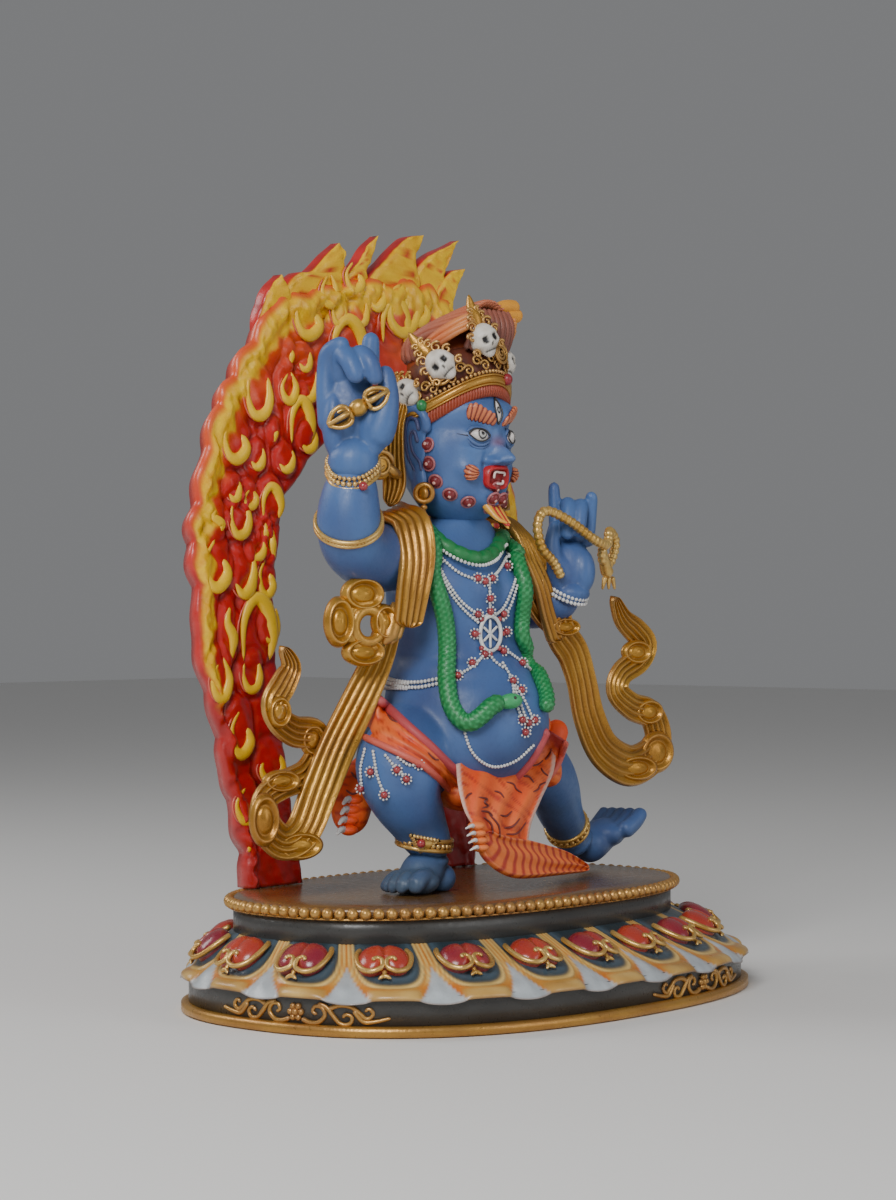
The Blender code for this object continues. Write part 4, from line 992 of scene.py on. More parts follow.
def curl_shapes(curls):
    """The raised curls: flattened tubes along each stroke, gold-yellow with a painted shade at the foot and a
    painted highlight on top.
    """
    shapes = []
    for kind, cx, cz, half, tall, flip in curls:
        stroke = curl_stroke(kind)
        line = np.stack([cx + flip * stroke[:, 0] * half, np.full(len(stroke), AUREOLE_FACE - 0.6),
                         cz + stroke[:, 1] * tall, stroke[:, 2]], 1)
        rows = even_line(line, count=26)
        heavy = (1.15 + 0.085 * (half + tall * 0.5))
        radius = np.clip(rows[:, 3], 0.18, 1.3) * heavy
        points = rows[:, :3]
        points[:, 1] -= 0.25 * radius
        shape = tube(points, radius, 10, facing=(0, -1, 0), flat=0.55)
        # Painted light: the yellow gets paler the higher a point stands off the plate, and darker at the
        # foot.
        lift = (AUREOLE_FACE - shape["points"][:, 1]) / 3.0
        shape["paint"] = blend_paint(YELLOW_DARK,
                                     YELLOW, 0.35 + lift + 0.25 * clouds(shape["points"], 6, 40))
        shapes.append(shape)
        middle = points.mean(0)
        outline = (points[3:-2] - middle) * (1.28, 1, 1.14) + middle + (-flip * 0.8, 0.35, -0.4)
        shapes.append(tube(outline, 0.42, 5, paint=(0.72, 0.10, 0.05)))
    return shapes


def build_aureole():
    """The flame plate, its crown of tongues and its curls."""
    curls = mirrored_curls()
    piece("aureole_plate", [aureole_plate(curls)], FLAME, ["flame_aureole"])
    piece("flame_tongues", flame_tongues(), FLAME)
    piece("flame_curls", curl_shapes(curls), FLAME)


# Body

def lifted(rows):
    """Figure places moved up onto the plate."""
    rows = np.array(rows, float)
    rows[:, 2] += PLATE_TOP
    return rows


def limb(*stops, sides=26, step=1.6):
    """A limb through stops of x, y, z and radius: circles carried along a smooth curve."""
    rows = even_line(lifted(stops), step=step)
    return tube(rows[:, :3], rows[:, 3], sides)


def swell(x, y, z, *radii):
    """An egg-shaped swelling."""
    return egg((x, y, z + PLATE_TOP), radii, rows=20, cols=28)


def torso():
    """The stout trunk: ovals stacked up the spine, deeper in front at the belly."""
    rows = np.array([
        # height, middle x, middle y, half width, front depth, back depth
        (38, -9, 6, 12, 14, 12), (44, -9, 6, 26, 26, 24), (52, -8, 5, 32, 34, 29),
        (62, -7, 4, 35, 39, 30), (72, -6, 4, 35.5, 40, 30), (82, -6, 4, 34, 37, 28),
        (92, -6, 5, 31, 32, 27), (101, -5, 6, 29, 27, 26), (110, -5, 7, 29.5, 26, 25),
        (119, -4.5, 8, 31.5, 26.5, 25), (129, -4, 8, 33, 26, 25), (138, -4, 8, 33, 23.5, 24),
        (146, -4, 8, 29, 19, 20), (153, -4, 7, 19, 15, 16), (158, -4, 6, 14, 13, 14)], float)
    rows = even_line(rows[:, [1, 2, 0, 3, 4, 5]], step=1.8)
    turn = round_turns(96)[None, :]
    c, s = np.cos(turn), np.sin(turn)
    depth = np.where(s < 0, rows[:, 4:5], rows[:, 5:6])
    x = rows[:, :1] + rows[:, 3:4] * np.sign(c) * np.abs(c) ** 0.92
    y = rows[:, 1:2] + depth * np.sign(s) * np.abs(s) ** 0.92
    z = np.broadcast_to(rows[:, 2:3], x.shape)
    grid = np.stack([x, y, z], -1)
    out = unit(grid - np.array([-5, 6, 0]) * (1, 1, 0) - grid * (0, 0, 1))
    push = np.zeros_like(x)
    for cx, cz, wide, tall, high in ((-17, 128, 11, 8, 3.0), (9, 128, 11, 8, 3.0), (-4, 128, 2.6, 12, -1.2),
                                     (-5, 84, 16, 10, 1.0), (-38, 99, 14, 2.0, -1.4),
                                     (-34, 90, 16, 2.0, -1.0)):
        bump = np.exp(-((x - cx) / wide) ** 2 - ((z - cz) / tall) ** 2)
        push += high * bump * (s < 0.25)
    grid = grid + out * push[..., None]
    grid[..., 2] += PLATE_TOP
    return closed_grid(grid)


def hand_frame(place, across, palm, squeeze):
    """Turns hand places (across, up, out of the palm, radius) into figure places."""
    across, palm = unit(np.array(across, float)), unit(np.array(palm, float))
    up = np.cross(palm, across)
    up = up if up[2] > 0 else -up

    def put(*stops):
        rows = np.array(stops, float)
        spots = np.array(place) + rows[:, :1] * squeeze * across + rows[:, 1:2] * up + rows[:, 2:3] * palm
        return limb(*np.column_stack([spots, rows[:, 3]]), sides=18, step=0.9)

    def pad(a, b, n, ra, rb, rn):
        middle = np.array(place) + a * squeeze * across + b * up + n * palm
        middle[2] += PLATE_TOP
        return egg(middle, (ra * squeeze, rb, rn), [across, up, palm], 18, 26)

    return put, pad


RIGHT_HAND = ((-77, 1, 178), (0.68, -0.73, 0.0), (-0.73, -0.68, 0.05), 0.88)
LEFT_HAND = ((46, -17, 127), (0.70, -0.71, 0.0), (-0.70, -0.70, 0.12), 0.95)


def right_hand():
    """The raised hand: two fingers curled into the palm, the first finger straight up."""
    put, pad = hand_frame(*RIGHT_HAND)
    return [
        put((0, -10, 0, 10.2), (0, -2, 0, 10.3), (0, 5, 0, 10.8), (-1, 12, 0, 11.5)),
        pad(-1.5, 22, -1.5, 14.2, 19, 7.5), pad(-9, 18, 1, 5.5, 14, 6.5), pad(9.5, 16, 2, 7.5, 12, 6.5),
        put((-10.5, 14, 0, 5.0), (-12.2, 30, 0, 4.4), (-12.0, 41, 0.5, 4.2), (-11.0, 46.5, 2, 4.0),
            (-6.5, 49.5, 5, 3.6), (-1.8, 50.2, 7, 2.9)),
        put((-6, 34, -1, 4.4), (-5.8, 42, 2, 4.3), (-4.5, 45.5, 6, 4.2), (-1.5, 42, 10.5, 4.0),
            (1.2, 36, 12, 3.6), (2.0, 33, 11.5, 3.2)),
        put((0, 36, -1, 4.5), (1.2, 43, 2, 4.4), (3.5, 45.5, 6.5, 4.2), (7.5, 42, 10.5, 4.0),
            (10, 36, 11, 3.5), (10.5, 32.5, 10, 3.1)),
        put((6, 34, -1.5, 4.8), (7.6, 42, -1, 4.4), (8.2, 48, -1, 4.0), (8.6, 53, -1, 3.5),
            (8.8, 56, -0.5, 2.9)),
        put((9, 8, 2, 7.0), (13.5, 17, 4, 6.4), (16.2, 27, 5, 4.9), (16.0, 35, 4.5, 3.9),
            (14.3, 41.5, 3.5, 3.0)),
    ]


def left_hand():
    """The hand at the chest: palm outwards, first finger up and the others folded."""
    put, pad = hand_frame(*LEFT_HAND)
    return [
        put((0, -7, -1, 9.0), (0, -1, 0, 9.4), (0, 5, 0, 9.6)),
        pad(0.4, 10, 0, 10.6, 13, 7.2), pad(-5, 8, 3, 6.0, 9, 5.5), pad(5.5, 9, 2, 6.0, 10, 6.0),
        put((-6, 4, 3, 5.4), (-8.2, 13, 4.2, 4.4), (-8.8, 21, 4.8, 3.5), (-7.6, 28, 5, 2.8),
            (-6.8, 31, 5, 2.4)),
        put((-5, 18, -1, 3.6), (-6.2, 28, -1, 3.1), (-6.6, 38, -1, 2.8), (-6.9, 45, -0.5, 2.6),
            (-6.9, 49, 0, 2.1)),
        put((-1.6, 22, -2, 3.7), (-1.2, 32, -1.5, 3.5), (-0.9, 38.5, 1, 3.4), (-1.1, 36.5, 5, 3.3),
            (-1.8, 29, 7.5, 3.1), (-2.4, 22, 7.5, 2.8)),
        put((4.2, 22, -2, 3.7), (4.8, 32, -1.5, 3.4), (5.0, 38, 1, 3.3), (4.8, 36, 5, 3.2),
            (3.8, 29, 7.5, 3.0), (2.8, 23, 7.5, 2.7)),
        put((8, 20, -2, 3.4), (9.3, 29, -1.5, 3.1), (10.0, 37, 0, 2.9), (10.2, 41.5, 2, 2.7),
            (8.6, 42.5, 4.4, 2.4)),
    ]


def arms():
    """Shoulders, upper arms and forearms."""
    return [
        limb((-24, 9, 143, 13.5), (-38, 10, 142, 14.4), (-55, 8, 141, 14.4), (-70, 5.5, 145, 13.6),
             (-77, 3, 153, 13.4), (-78, 2, 162, 12.8), (-77.5, 1.2, 172, 10.8), (-77, 1, 180, 10.2)),
        limb((16, 8, 144, 13.5), (28, 9, 139, 13.2), (38, 9, 129, 12.0), (42.5, 6, 122, 11.2),
             (45, -3, 121.5, 10.2), (46, -12, 124, 9.2), (46, -17, 128, 8.8)),
    ]


def thighs_and_shins():
    """The bent right leg and the stretched left leg, down to the ankles."""
    return [
        limb((-16, 8, 60, 21), (-28, 7, 60, 22), (-41, 3, 57, 21), (-50, -1, 51, 18.5),
             (-47.5, -2, 41, 15.4), (-39.5, -2, 30, 12.2), (-33.5, -3, 20, 9.8), (-31.5, -3, 12, 9.4)),
        limb((4, 4, 60, 20), (18, 0, 57, 18.5), (31, -3, 53, 16), (43, -4, 47, 13.6), (54, -1, 39, 12),
             (66, 5, 29.5, 10.6), (77, 9, 20.5, 9.2), (84, 11, 15, 8.6)),
    ]


def right_foot():
    """The planted foot: heel, instep and five rounded toes."""
    parts = [limb((-34, -3, 18, 10.6), (-33, -3, 10, 9.6), (-31, -3, 7.6, 9.0)),
             limb((-28, -3, 6.4, 7.6), (-36, -3, 9.4, 8.8), (-43, -3.5, 6.8, 7.8), (-49, -4, 4.6, 6.0)),
             swell(-44, -4, 5.2, 9.5, 11.5, 6.0), swell(-28, -3, 5.5, 7.6, 8.2, 6.8)]
    for k, (x, y, r) in enumerate([(-56, -12.6, 3.7), (-57.5, -6.6, 3.1), (-57, -1.6, 2.9), (-55, 3.0, 2.7),
                                   (-52, 7.0, 2.5)]):
        knuckle = r + (2.4 if k == 0 else 3.0)
        parts.append(limb((x + 15, y * 0.75, 6.5, r + 0.8), (x + 7, y * 0.95, knuckle + 1.0, r),
                          (x + 2, y, r + 0.4, r), (x, y, r, r * 0.94), sides=16, step=0.8))
    return parts


def left_foot():
    """The stretched foot with its toes raised off the plate."""
    parts = [limb((80, 10, 18, 9.4), (86, 11, 12.5, 9.0), (90, 11, 9.4, 8.8)),
             limb((88, 11, 9, 8.8), (97, 10, 11.5, 8.2), (105, 9, 16, 7.2), (111, 8, 20.5, 5.4)),
             swell(104, 9, 15.5, 9, 11, 6.5)]
    for y, r, reach in ((-3.5, 3.5, 1.0), (2.2, 3.0, 0.8), (7.0, 2.8, 0.2), (11.4, 2.6, -0.8),
                        (15.4, 2.4, -2.2)):
        parts.append(limb((103 + reach, y * 0.8 + 1.5, 16, r + 0.8), (110 + reach, y, 20.5, r + 0.2),
                          (115 + reach, y, 24.6, r), (117 + reach, y, 26.8, r * 0.9), sides=16, step=0.8))
    return parts


def tint_skin(obj):
    """Blue with slate and purple shading, and an olive cast low on the legs."""
    points = mesh_points(obj.data)
    height = points[:, 2] - PLATE_TOP
    paint = blend_paint(BLUE, BLUE_DARK,
                        0.28 + 0.35 * clouds(points, 60, 50))
    paint = blend_paint(paint, (0.085, 0.19, 0.44), 0.25 + 0.4 * clouds(points, 34, 51))
    low = ease(26, 4, height) * ease(-10, -40, points[:, 0])
    paint = blend_paint(paint, OLIVE, 0.55 * low + 0.2 * ease(60, 10, height) * clouds(points, 24, 52))
    paint_mesh(obj, paint)


def build_body():
    """Trunk, limbs, hands and feet."""
    neck = limb((-5, 6, 146, 15), (-5, 4.5, 156, 14.2), (-5, 3.5, 164, 16.5))
    body = melted("body", [torso(), neck, *arms(), *thighs_and_shins()], 1.4, 7, SKIN,
                  ["vajrapani_figure"])
    parts = [body,
             melted("right_hand", right_hand(), 0.78, 3, SKIN),
             melted("left_hand", left_hand(), 0.70, 3, SKIN),
             melted("right_foot", right_foot(), 0.8, 3, SKIN),
             melted("left_foot", left_foot(), 0.8, 3, SKIN)]
    for obj in parts[3:]:
        rows = mesh_points(obj.data)
        rows[:, 2] = np.maximum(rows[:, 2], PLATE_TOP + SEAT_GAP)
        obj.data.vertices.foreach_set("co", (rows * MM).ravel())
        obj.data.update()
    for obj in parts:
        tint_skin(obj)
    return parts


# Head

HEAD_MIDDLE = np.array([-6.0, 4.5, 184.0 + PLATE_TOP])
SKULL_EGG = ((-6.0, 6.0, 187.0 + PLATE_TOP), (24.5, 24.5, 28.0))
JAW_EGG = ((-6.0, 2.6, 172.5 + PLATE_TOP), (20.8, 18.2, 16.8))
BROW_EGG = ((-6.0, 4.8, 203.0 + PLATE_TOP), (23.2, 22.4, 17.0))


def reach_to(egg_shape, ways):
    """How far from the head's middle each direction leaves an egg."""
    centre, radii = np.array(egg_shape[0]), np.array(egg_shape[1])
    start = (HEAD_MIDDLE - centre) / radii
    step = ways / radii
    a = (step ** 2).sum(-1)
    b = 2 * (step * start).sum(-1)
    c = (start ** 2).sum() - 1
    return (-b + np.sqrt(np.maximum(b * b - 4 * a * c, 0))) / (2 * a)


def ways_of(azimuth, rise):
    """Directions from the head's middle: azimuth 0 to the front, positive to its right."""
    return np.stack([-np.sin(azimuth) * np.cos(rise), -np.cos(azimuth) * np.cos(rise), np.sin(rise)], -1)


def plain_reach(ways):
    """The head without features: three eggs joined by a soft maximum."""
    return sum(reach_to(shape, ways) ** 14 for shape in (SKULL_EGG, JAW_EGG, BROW_EGG)) ** (1 / 14)


def angles_at(pixel):
    """The azimuth and rise at which a pixel's sight line meets the plain head."""
    way = sight([pixel])[0]
    steps = EYE + way * np.linspace(1120, 1300, 1500)[:, None]
    spread = steps - HEAD_MIDDLE
    distance = np.linalg.norm(spread, axis=1)
    gap = distance - plain_reach(unit(spread))
    inside = np.nonzero(gap < 0)[0]
    k = inside[0] if len(inside) else np.argmin(gap)
    d = spread[k] / distance[k]
    return math.atan2(-d[0], -d[1]), math.asin(d[2])


# Pixels of the face's near side; the far side is mirrored
NEAR_EYE = (478.5, 436.5)
NEAR_BROW = [(466, 415), (473, 414.5), (482, 418), (493, 426)]
THIRD_EYE = (498, 412)
NEAR_TUFT = (472.5, 471)
BEARD_CURLS = [(427.7, 445), (429, 463.6), (436, 481), (450, 494), (468, 501), (488, 504.6)]
MOUTH_RISE = -0.355
NOSE_RISE = -0.03


def head_reach(azimuth, rise):
    """The head's surface: the plain head pushed out and in by soft bumps for its features."""
    out = np.zeros(np.broadcast(azimuth, rise).shape)
    side = np.abs(azimuth)

    def bump(a, e, wide, tall, high, power=2.0):
        return high * np.exp(-(np.abs((azimuth - a) / wide) ** power) - (np.abs((rise - e) / tall) ** power))

    eye_a, eye_e = angles_at(NEAR_EYE)
    for sign in (-1, 1):
        out += bump(sign * eye_a, eye_e, 0.24, 0.13, 2.0)
        out += bump(sign * eye_a, eye_e + 0.17, 0.26, 0.06, -1.6)
        out += bump(sign * eye_a, eye_e - 0.17, 0.22, 0.05, -0.9)
        out += bump(sign * 0.50, eye_e + 0.34, 0.28, 0.11, 2.4)
        out += bump(sign * 0.20, eye_e + 0.24, 0.13, 0.11, 2.6)
        out += bump(sign * 0.62, -0.26, 0.26, 0.17, 2.2)
        out += bump(sign * 0.27, -0.02, 0.10, 0.20, -1.2)
        out += bump(sign * 0.20, NOSE_RISE - 0.05, 0.085, 0.075, 4.6)
        out += bump(sign * 0.34, -0.20, 0.06, 0.14, -1.2)
    out += bump(0, NOSE_RISE - 0.01, 0.13, 0.11, 8.2)
    out += bump(0, NOSE_RISE + 0.14, 0.095, 0.12, 4.2)
    out += bump(0, NOSE_RISE + 0.30, 0.085, 0.07, -0.8)
    out += bump(0, 0.45, 0.12, 0.14, 1.0)
    out += bump(0, MOUTH_RISE, 0.56, 0.26, 0.8)
    out += bump(0, MOUTH_RISE + 0.22, 0.40, 0.05, -1.0)
    out += bump(0, -0.72, 0.36, 0.14, 3.6)
    out += bump(0, -0.56, 0.28, 0.05, -1.2)
    out -= 0.8 * np.exp(-((side - 0.95) / 0.16) ** 2 - ((rise + 0.05) / 0.4) ** 2)
    return plain_reach(ways_of(azimuth, rise)) + out


def face_point(azimuth, rise, lift=0.0):
    """Places on the finished face, raised by lift."""
    azimuth, rise = np.asarray(azimuth, float), np.asarray(rise, float)
    return HEAD_MIDDLE + ways_of(azimuth, rise) * (head_reach(azimuth, rise) + lift)[..., None]


def head_skin():
    """The head on a grid of azimuth and rise, closed at crown and neck."""
    rise = np.linspace(-1.45, 1.48, 130)[:, None]
    azimuth = np.linspace(-math.pi, math.pi, 210, endpoint=False)
    azimuth = (azimuth - 0.55 * np.sin(azimuth))[None, :]
    grid = face_point(azimuth + 0 * rise, rise + 0 * azimuth)
    paint = blend_paint(BLUE, BLUE_DARK, 0.15 + 0.25 * clouds(grid, 40, 60))
    paint = blend_paint(paint, (0.095, 0.20, 0.45), 0.35 + 0.4 * clouds(grid, 26, 61))
    paint = blend_paint(paint, (0.42, 0.16, 0.22), 0.5 * np.exp(-((azimuth / 0.2) ** 2)
                                                              - ((rise - 0.28) / 0.09) ** 2))
    return closed_grid(grid, paint=paint)


def face_line(points, radius, sides=8, lift=0.2, count=40, paint=None):
    """A cord on the face through places of azimuth and rise."""
    rows = even_line([(a, e, 0) for a, e in points], count=count)
    return tube(face_point(rows[:, 0], rows[:, 1], lift), radius, sides, paint=paint)


def eyes():
    """Bulging almond eyes: white, with a black-ringed grey iris, a dark dot and black lids."""
    shapes, lids = [], []
    eye_a, eye_e = angles_at(NEAR_EYE)
    places = [(eye_a, eye_e, 0.205, 0.100, 1), (-eye_a, eye_e, 0.205, 0.100, -1)]
    for azimuth, rise, wide, tall, side in places:
        rows, cols = 22, 40
        u = np.linspace(-1, 1, cols)[None, :]
        v = np.linspace(-1, 1, rows)[:, None]
        lid = np.clip(1 - np.abs(u) ** 2.2, 0.0, 1)
        a = azimuth + u * wide + 0.0 * v
        e = rise + v * tall * lid - 0.012 * side * u + 0.03 * u * side
        bulge = 1.7 * (1 - (v * 0.8) ** 2) * lid - 0.3
        front = face_point(a, e, bulge)
        back = face_point(a, e, np.full_like(bulge, -2.0))
        look_a, look_e = azimuth - 0.03, rise + 0.005
        away = np.hypot((a - look_a) * np.cos(rise) * 28, (e - look_e) * 28)
        colour = blend_paint((0.74, 0.70, 0.66), (0.60, 0.28, 0.24),
                             0.55 * ease(0.6, 1.0, np.abs(u)) * np.ones_like(v))
        colour = blend_paint(colour, BLACK, ease(2.35, 2.2, away))
        colour = blend_paint(colour, (0.55, 0.55, 0.53), ease(1.75, 1.6, away))
        colour = blend_paint(colour, BLACK, ease(0.95, 0.8, away))
        shapes.append(two_faced(front, back, colour, BLACK))
        edge = np.linspace(-1.06, 1.06, 26)
        arc = np.clip(1 - np.abs(edge) ** 2.2, 0, 1)
        slope = 0.018 * edge * side
        for sign, thick, rise_off in ((1, 0.42, 0.006), (-1, 0.28, -0.004)):
            line = face_point(azimuth + edge * wide, rise + slope + sign * tall * arc + rise_off,
                              np.full(26, 0.9))
            shapes.append(tube(line, thick, 7, paint=BLACK))
        liner = [(azimuth + side * wide, rise - 0.01), (azimuth + side * (wide + 0.10), rise + 0.015),
                 (azimuth + side * (wide + 0.22), rise + 0.04)]
        shapes.append(face_line(liner, np.linspace(0.34, 0.12, 20), 6, 0.05, 20, (0.01, 0.015, 0.05)))
        for sign, gap, thick in ((1, 0.045, 1.0), (-1, -0.045, 0.9), (-1, -0.10, 0.6)):
            line = face_point(azimuth + edge * wide * 1.12, rise + slope + sign * tall * arc + gap,
                              np.full(26, 0.1))
            lids.append(tube(line, thick * np.clip(arc + 0.25, 0, 1), 8,
                             paint=BLUE))
    return shapes, lids


def third_eye():
    """The upright eye on the forehead: a white almond on end, outlined in black."""
    u = np.linspace(-1, 1, 30)[:, None]
    v = np.linspace(-1, 1, 18)[None, :]
    lid = np.clip(1 - np.abs(u) ** 2.2, 0.0, 1)
    middle = angles_at(THIRD_EYE)[1]
    a = v * 0.085 * lid
    e = middle + u * 0.155 + 0 * v
    front = face_point(a, e, 1.0 * (1 - v ** 2) * lid - 0.1)
    back = face_point(a, e, np.full((30, 18), -1.5))
    away = np.hypot(v * 0.085 * lid * 25, u * 0.155 * 25)
    colour = blend_paint((0.76, 0.72, 0.68), BLACK, ease(1.25, 1.1, away))
    colour = blend_paint(colour, (0.5, 0.5, 0.5), ease(0.55, 0.4, away))
    shapes = [two_faced(front, back, colour, BLACK)]
    edge = np.linspace(-1.05, 1.05, 22)
    arc = np.clip(1 - np.abs(edge) ** 2.2, 0, 1)
    for sign in (-1, 1):
        line = face_point(sign * 0.09 * arc, middle + edge * 0.165, np.full(22, 0.4))
        shapes.append(tube(line, 0.36, 7, paint=BLACK))
    return shapes


def ribbed_tuft(points, widths, count, paints):
    """A raised brow or moustache: an oval bank along a line, cut into ribs by a sine."""
    rows = even_line([(a, e, w) for (a, e), w in zip(points, widths)], count=70)
    turn = round_turns(16)[None, :]
    share = np.linspace(0, 1, 70)[:, None]
    groove = np.abs(np.sin(share * math.pi * count + 0.9 * np.cos(turn)))
    rib = 0.80 + 0.20 * groove
    along = unit(np.gradient(rows[:, :2], axis=0))
    wide = (rows[:, 2:3] * np.sqrt(np.clip(1 - (2 * share - 1) ** 6, 0.03, 1)))
    a = rows[:, :1] - along[:, 1:2] * np.cos(turn) * wide * rib
    e = rows[:, 1:2] + along[:, :1] * np.cos(turn) * wide * rib
    high = np.where(np.sin(turn) > 0, 2.5 * rib * np.sqrt(np.clip(wide / wide.max(), 0.05, 1)), 0.6)
    grid = face_point(a, e, np.sin(turn) * high)
    crest = ease(0.25, 0.7, groove) * ease(0.15, 0.45, np.sin(turn))
    return closed_grid(grid, paint=blend_paint(paints[0], paints[1], crest))


def brows_and_tufts():
    """Orange-pink ribbed brows and the two moustache tufts beside the mouth."""
    shapes = []
    tones = ((0.16, 0.010, 0.010), (0.70, 0.20, 0.075))
    spots = [angles_at(p) for p in NEAR_BROW]
    tuft_a, tuft_e = angles_at(NEAR_TUFT)
    for side in (-1, 1):
        line = [(side * a, e) for a, e in spots]
        shapes.append(ribbed_tuft(line, [0.098, 0.088, 0.068, 0.05], 7, tones))
        tuft = [(side * (tuft_a + 0.01), tuft_e - 0.13), (side * (tuft_a + 0.04), tuft_e),
                (side * (tuft_a + 0.01), tuft_e + 0.12)]
        shapes.append(ribbed_tuft(tuft, [0.12, 0.15, 0.11], 5, tones))
    return shapes


def mouth():
    """The wrathful mouth: a red rounded square with a darker hollow and bared white teeth."""
    red, hollow, ivory = (0.46, 0.006, 0.010), (0.26, 0.002, 0.005), (0.90, 0.74, 0.68)
    rise = MOUTH_RISE
    r = np.linspace(0.04, 1, 24)[:, None]
    turn = round_turns(44)[None, :]
    square_x = np.sign(np.cos(turn)) * np.abs(np.cos(turn)) ** 0.62
    square_z = np.sign(np.sin(turn)) * np.abs(np.sin(turn)) ** 0.62
    a, e = r * square_x * 0.375, rise + r * square_z * 0.235
    lift = 2.2 * np.exp(-((r - 0.74) / 0.16) ** 2) + 0.7 * np.exp(-(r / 0.35) ** 2) - 1.5 * ease(0.9, 1.0, r)
    grid = face_point(a, e, lift + 0 * turn)
    paint = blend_paint(red, hollow, ease(0.62, 0.48, r) * np.ones_like(turn))
    under = face_point(a[-1:], e[-1:], np.full((1, 44), -2.5))
    shapes = [closed_grid(np.concatenate([grid, under]), paint=np.concatenate([paint, paint[-1:]]))]
    for line in ([(-0.15, 0.03), (-0.15, 0.085), (0.0, 0.095), (0.12, 0.09), (0.135, -0.02)],
                 [(-0.13, -0.03), (-0.14, -0.09), (-0.03, -0.10), (0.05, -0.095)]):
        shapes.append(face_line([(a, rise + e) for a, e in line], 0.55, 7, 1.1, 24, ivory))
    return shapes


def beard_curls():
    """Beard curls round the jaw: a dark red ball in a paler ring, with a pale dot on top as a painted
    highlight.
    """
    shapes = []
    spots = [angles_at(p) for p in BEARD_CURLS]
    places = [(s * a, e) for s in (-1, 1) for a, e in spots] + [(0.12, -0.66), (-0.12, -0.66), (0.0, -0.55)]
    for a, e in places:
        middle = face_point(a, e, 0.4)
        way = ways_of(np.array(a), np.array(e))
        side = unit(np.cross(way, (0, 0, 1)))
        up = np.cross(side, way)
        axes = [side, up, way]
        shapes.append(egg(middle, (2.5, 2.5, 2.1), axes, 12, 20, (0.20, 0.012, 0.016)))
        shapes.append(tube(circle(middle, side, up, 2.85, 26), 0.55, 7, loop=True, paint=(0.42, 0.13, 0.14)))
        # The pale dot on each curl is a painted highlight.
        shapes.append(egg(middle + way * 1.75, (0.85, 0.85, 0.6), axes, 8, 12, (0.78, 0.42, 0.34)))
    return shapes


def goatee():
    """The pointed red and gold beard under the chin."""
    shapes = []
    tip = np.array([-5.0, -23.5, 153.5 + PLATE_TOP])
    root = face_point(0.0, -0.88, -0.5)
    for k in range(5):
        shift = (k - 2) * 1.5
        line = even_line([root + (shift, 0, 2), (root + tip) / 2 + (shift * 0.9, -1.2, 0),
                          tip + (shift * 0.3, 0, abs(shift) * 0.8)], count=24)
        tone = (0.56, 0.02, 0.02) if k % 2 else (0.82, 0.40, 0.04)
        shapes.append(tube(line, np.linspace(2.2, 0.5, 24), 10,
                           paint=tone))
    return shapes


def ears():
    """Long flat ears: a rolled rim round a shell and a stretched lobe."""
    shapes = []
    for side in (-1, 1):
        x = -6 + 25.2 * side
        rim = lifted([(x - 0.8 * side, 0.8, 194), (x + 0.4 * side, 0.6, 200), (x + 0.8 * side, 4.5, 204.5),
                      (x + 1.0 * side, 10.5, 203.5), (x + 1.0 * side, 14.2, 196), (x + 0.8 * side, 13.6, 187),
                      (x + 0.4 * side, 10.6, 180), (x, 7.0, 173)])
        shapes.append(tube(even_line(rim, count=70), 2.1, 10))
        shapes.append(egg((x - 0.2 * side, 7.6, 190 + PLATE_TOP), (1.5, 7.0, 14.0), rows=18, cols=24))
        shapes.append(egg((x - 0.2 * side, 4.8, 173.5 + PLATE_TOP), (2.0, 4.4, 7.5), rows=14, cols=20))
    return shapes


def ear_fold_shade():
    """Dark lines of painted shade along the fold grooves inside each ear."""
    shapes = []
    for side in (-1, 1):
        x = -6 + 26.4 * side
        for fold in ([(3.4, 195), (5.2, 200), (9.6, 200), (11.0, 194), (9.6, 185), (5.6, 178)],
                     [(4.0, 190), (6.2, 195), (8.2, 192), (6.6, 186), (3.2, 182), (2.2, 178)]):
            line = even_line(lifted([(x, y, z) for y, z in fold]), count=40)
            # Painted shade: a dark line laid along each fold groove.
            shapes.append(tube(line, np.linspace(1.0, 0.6, 40), 7, paint=BLUE_DARK))
    return shapes


def build_head():
    """Head, ears and every painted feature of the face."""
    head = piece("head", [head_skin()], SKIN)
    ear = melted("ears", ears(), 0.7, 3, SKIN)
    tint_skin(ear)
    # The dark fold lines in the ears are painted shade.
    piece("ear_fold_shade", ear_fold_shade(), SKIN)
    eye_shapes, lids = eyes()
    piece("eyes", eye_shapes + third_eye(), FACE)
    piece("eyelids", lids, SKIN)
    piece("brows_and_moustache", brows_and_tufts(), FACE)
    piece("mouth", mouth(), FACE)
    piece("beard_curls", beard_curls(), FACE)
    piece("goatee", goatee(), FACE)
    return head, ear


# Cloth and gilt ribbons

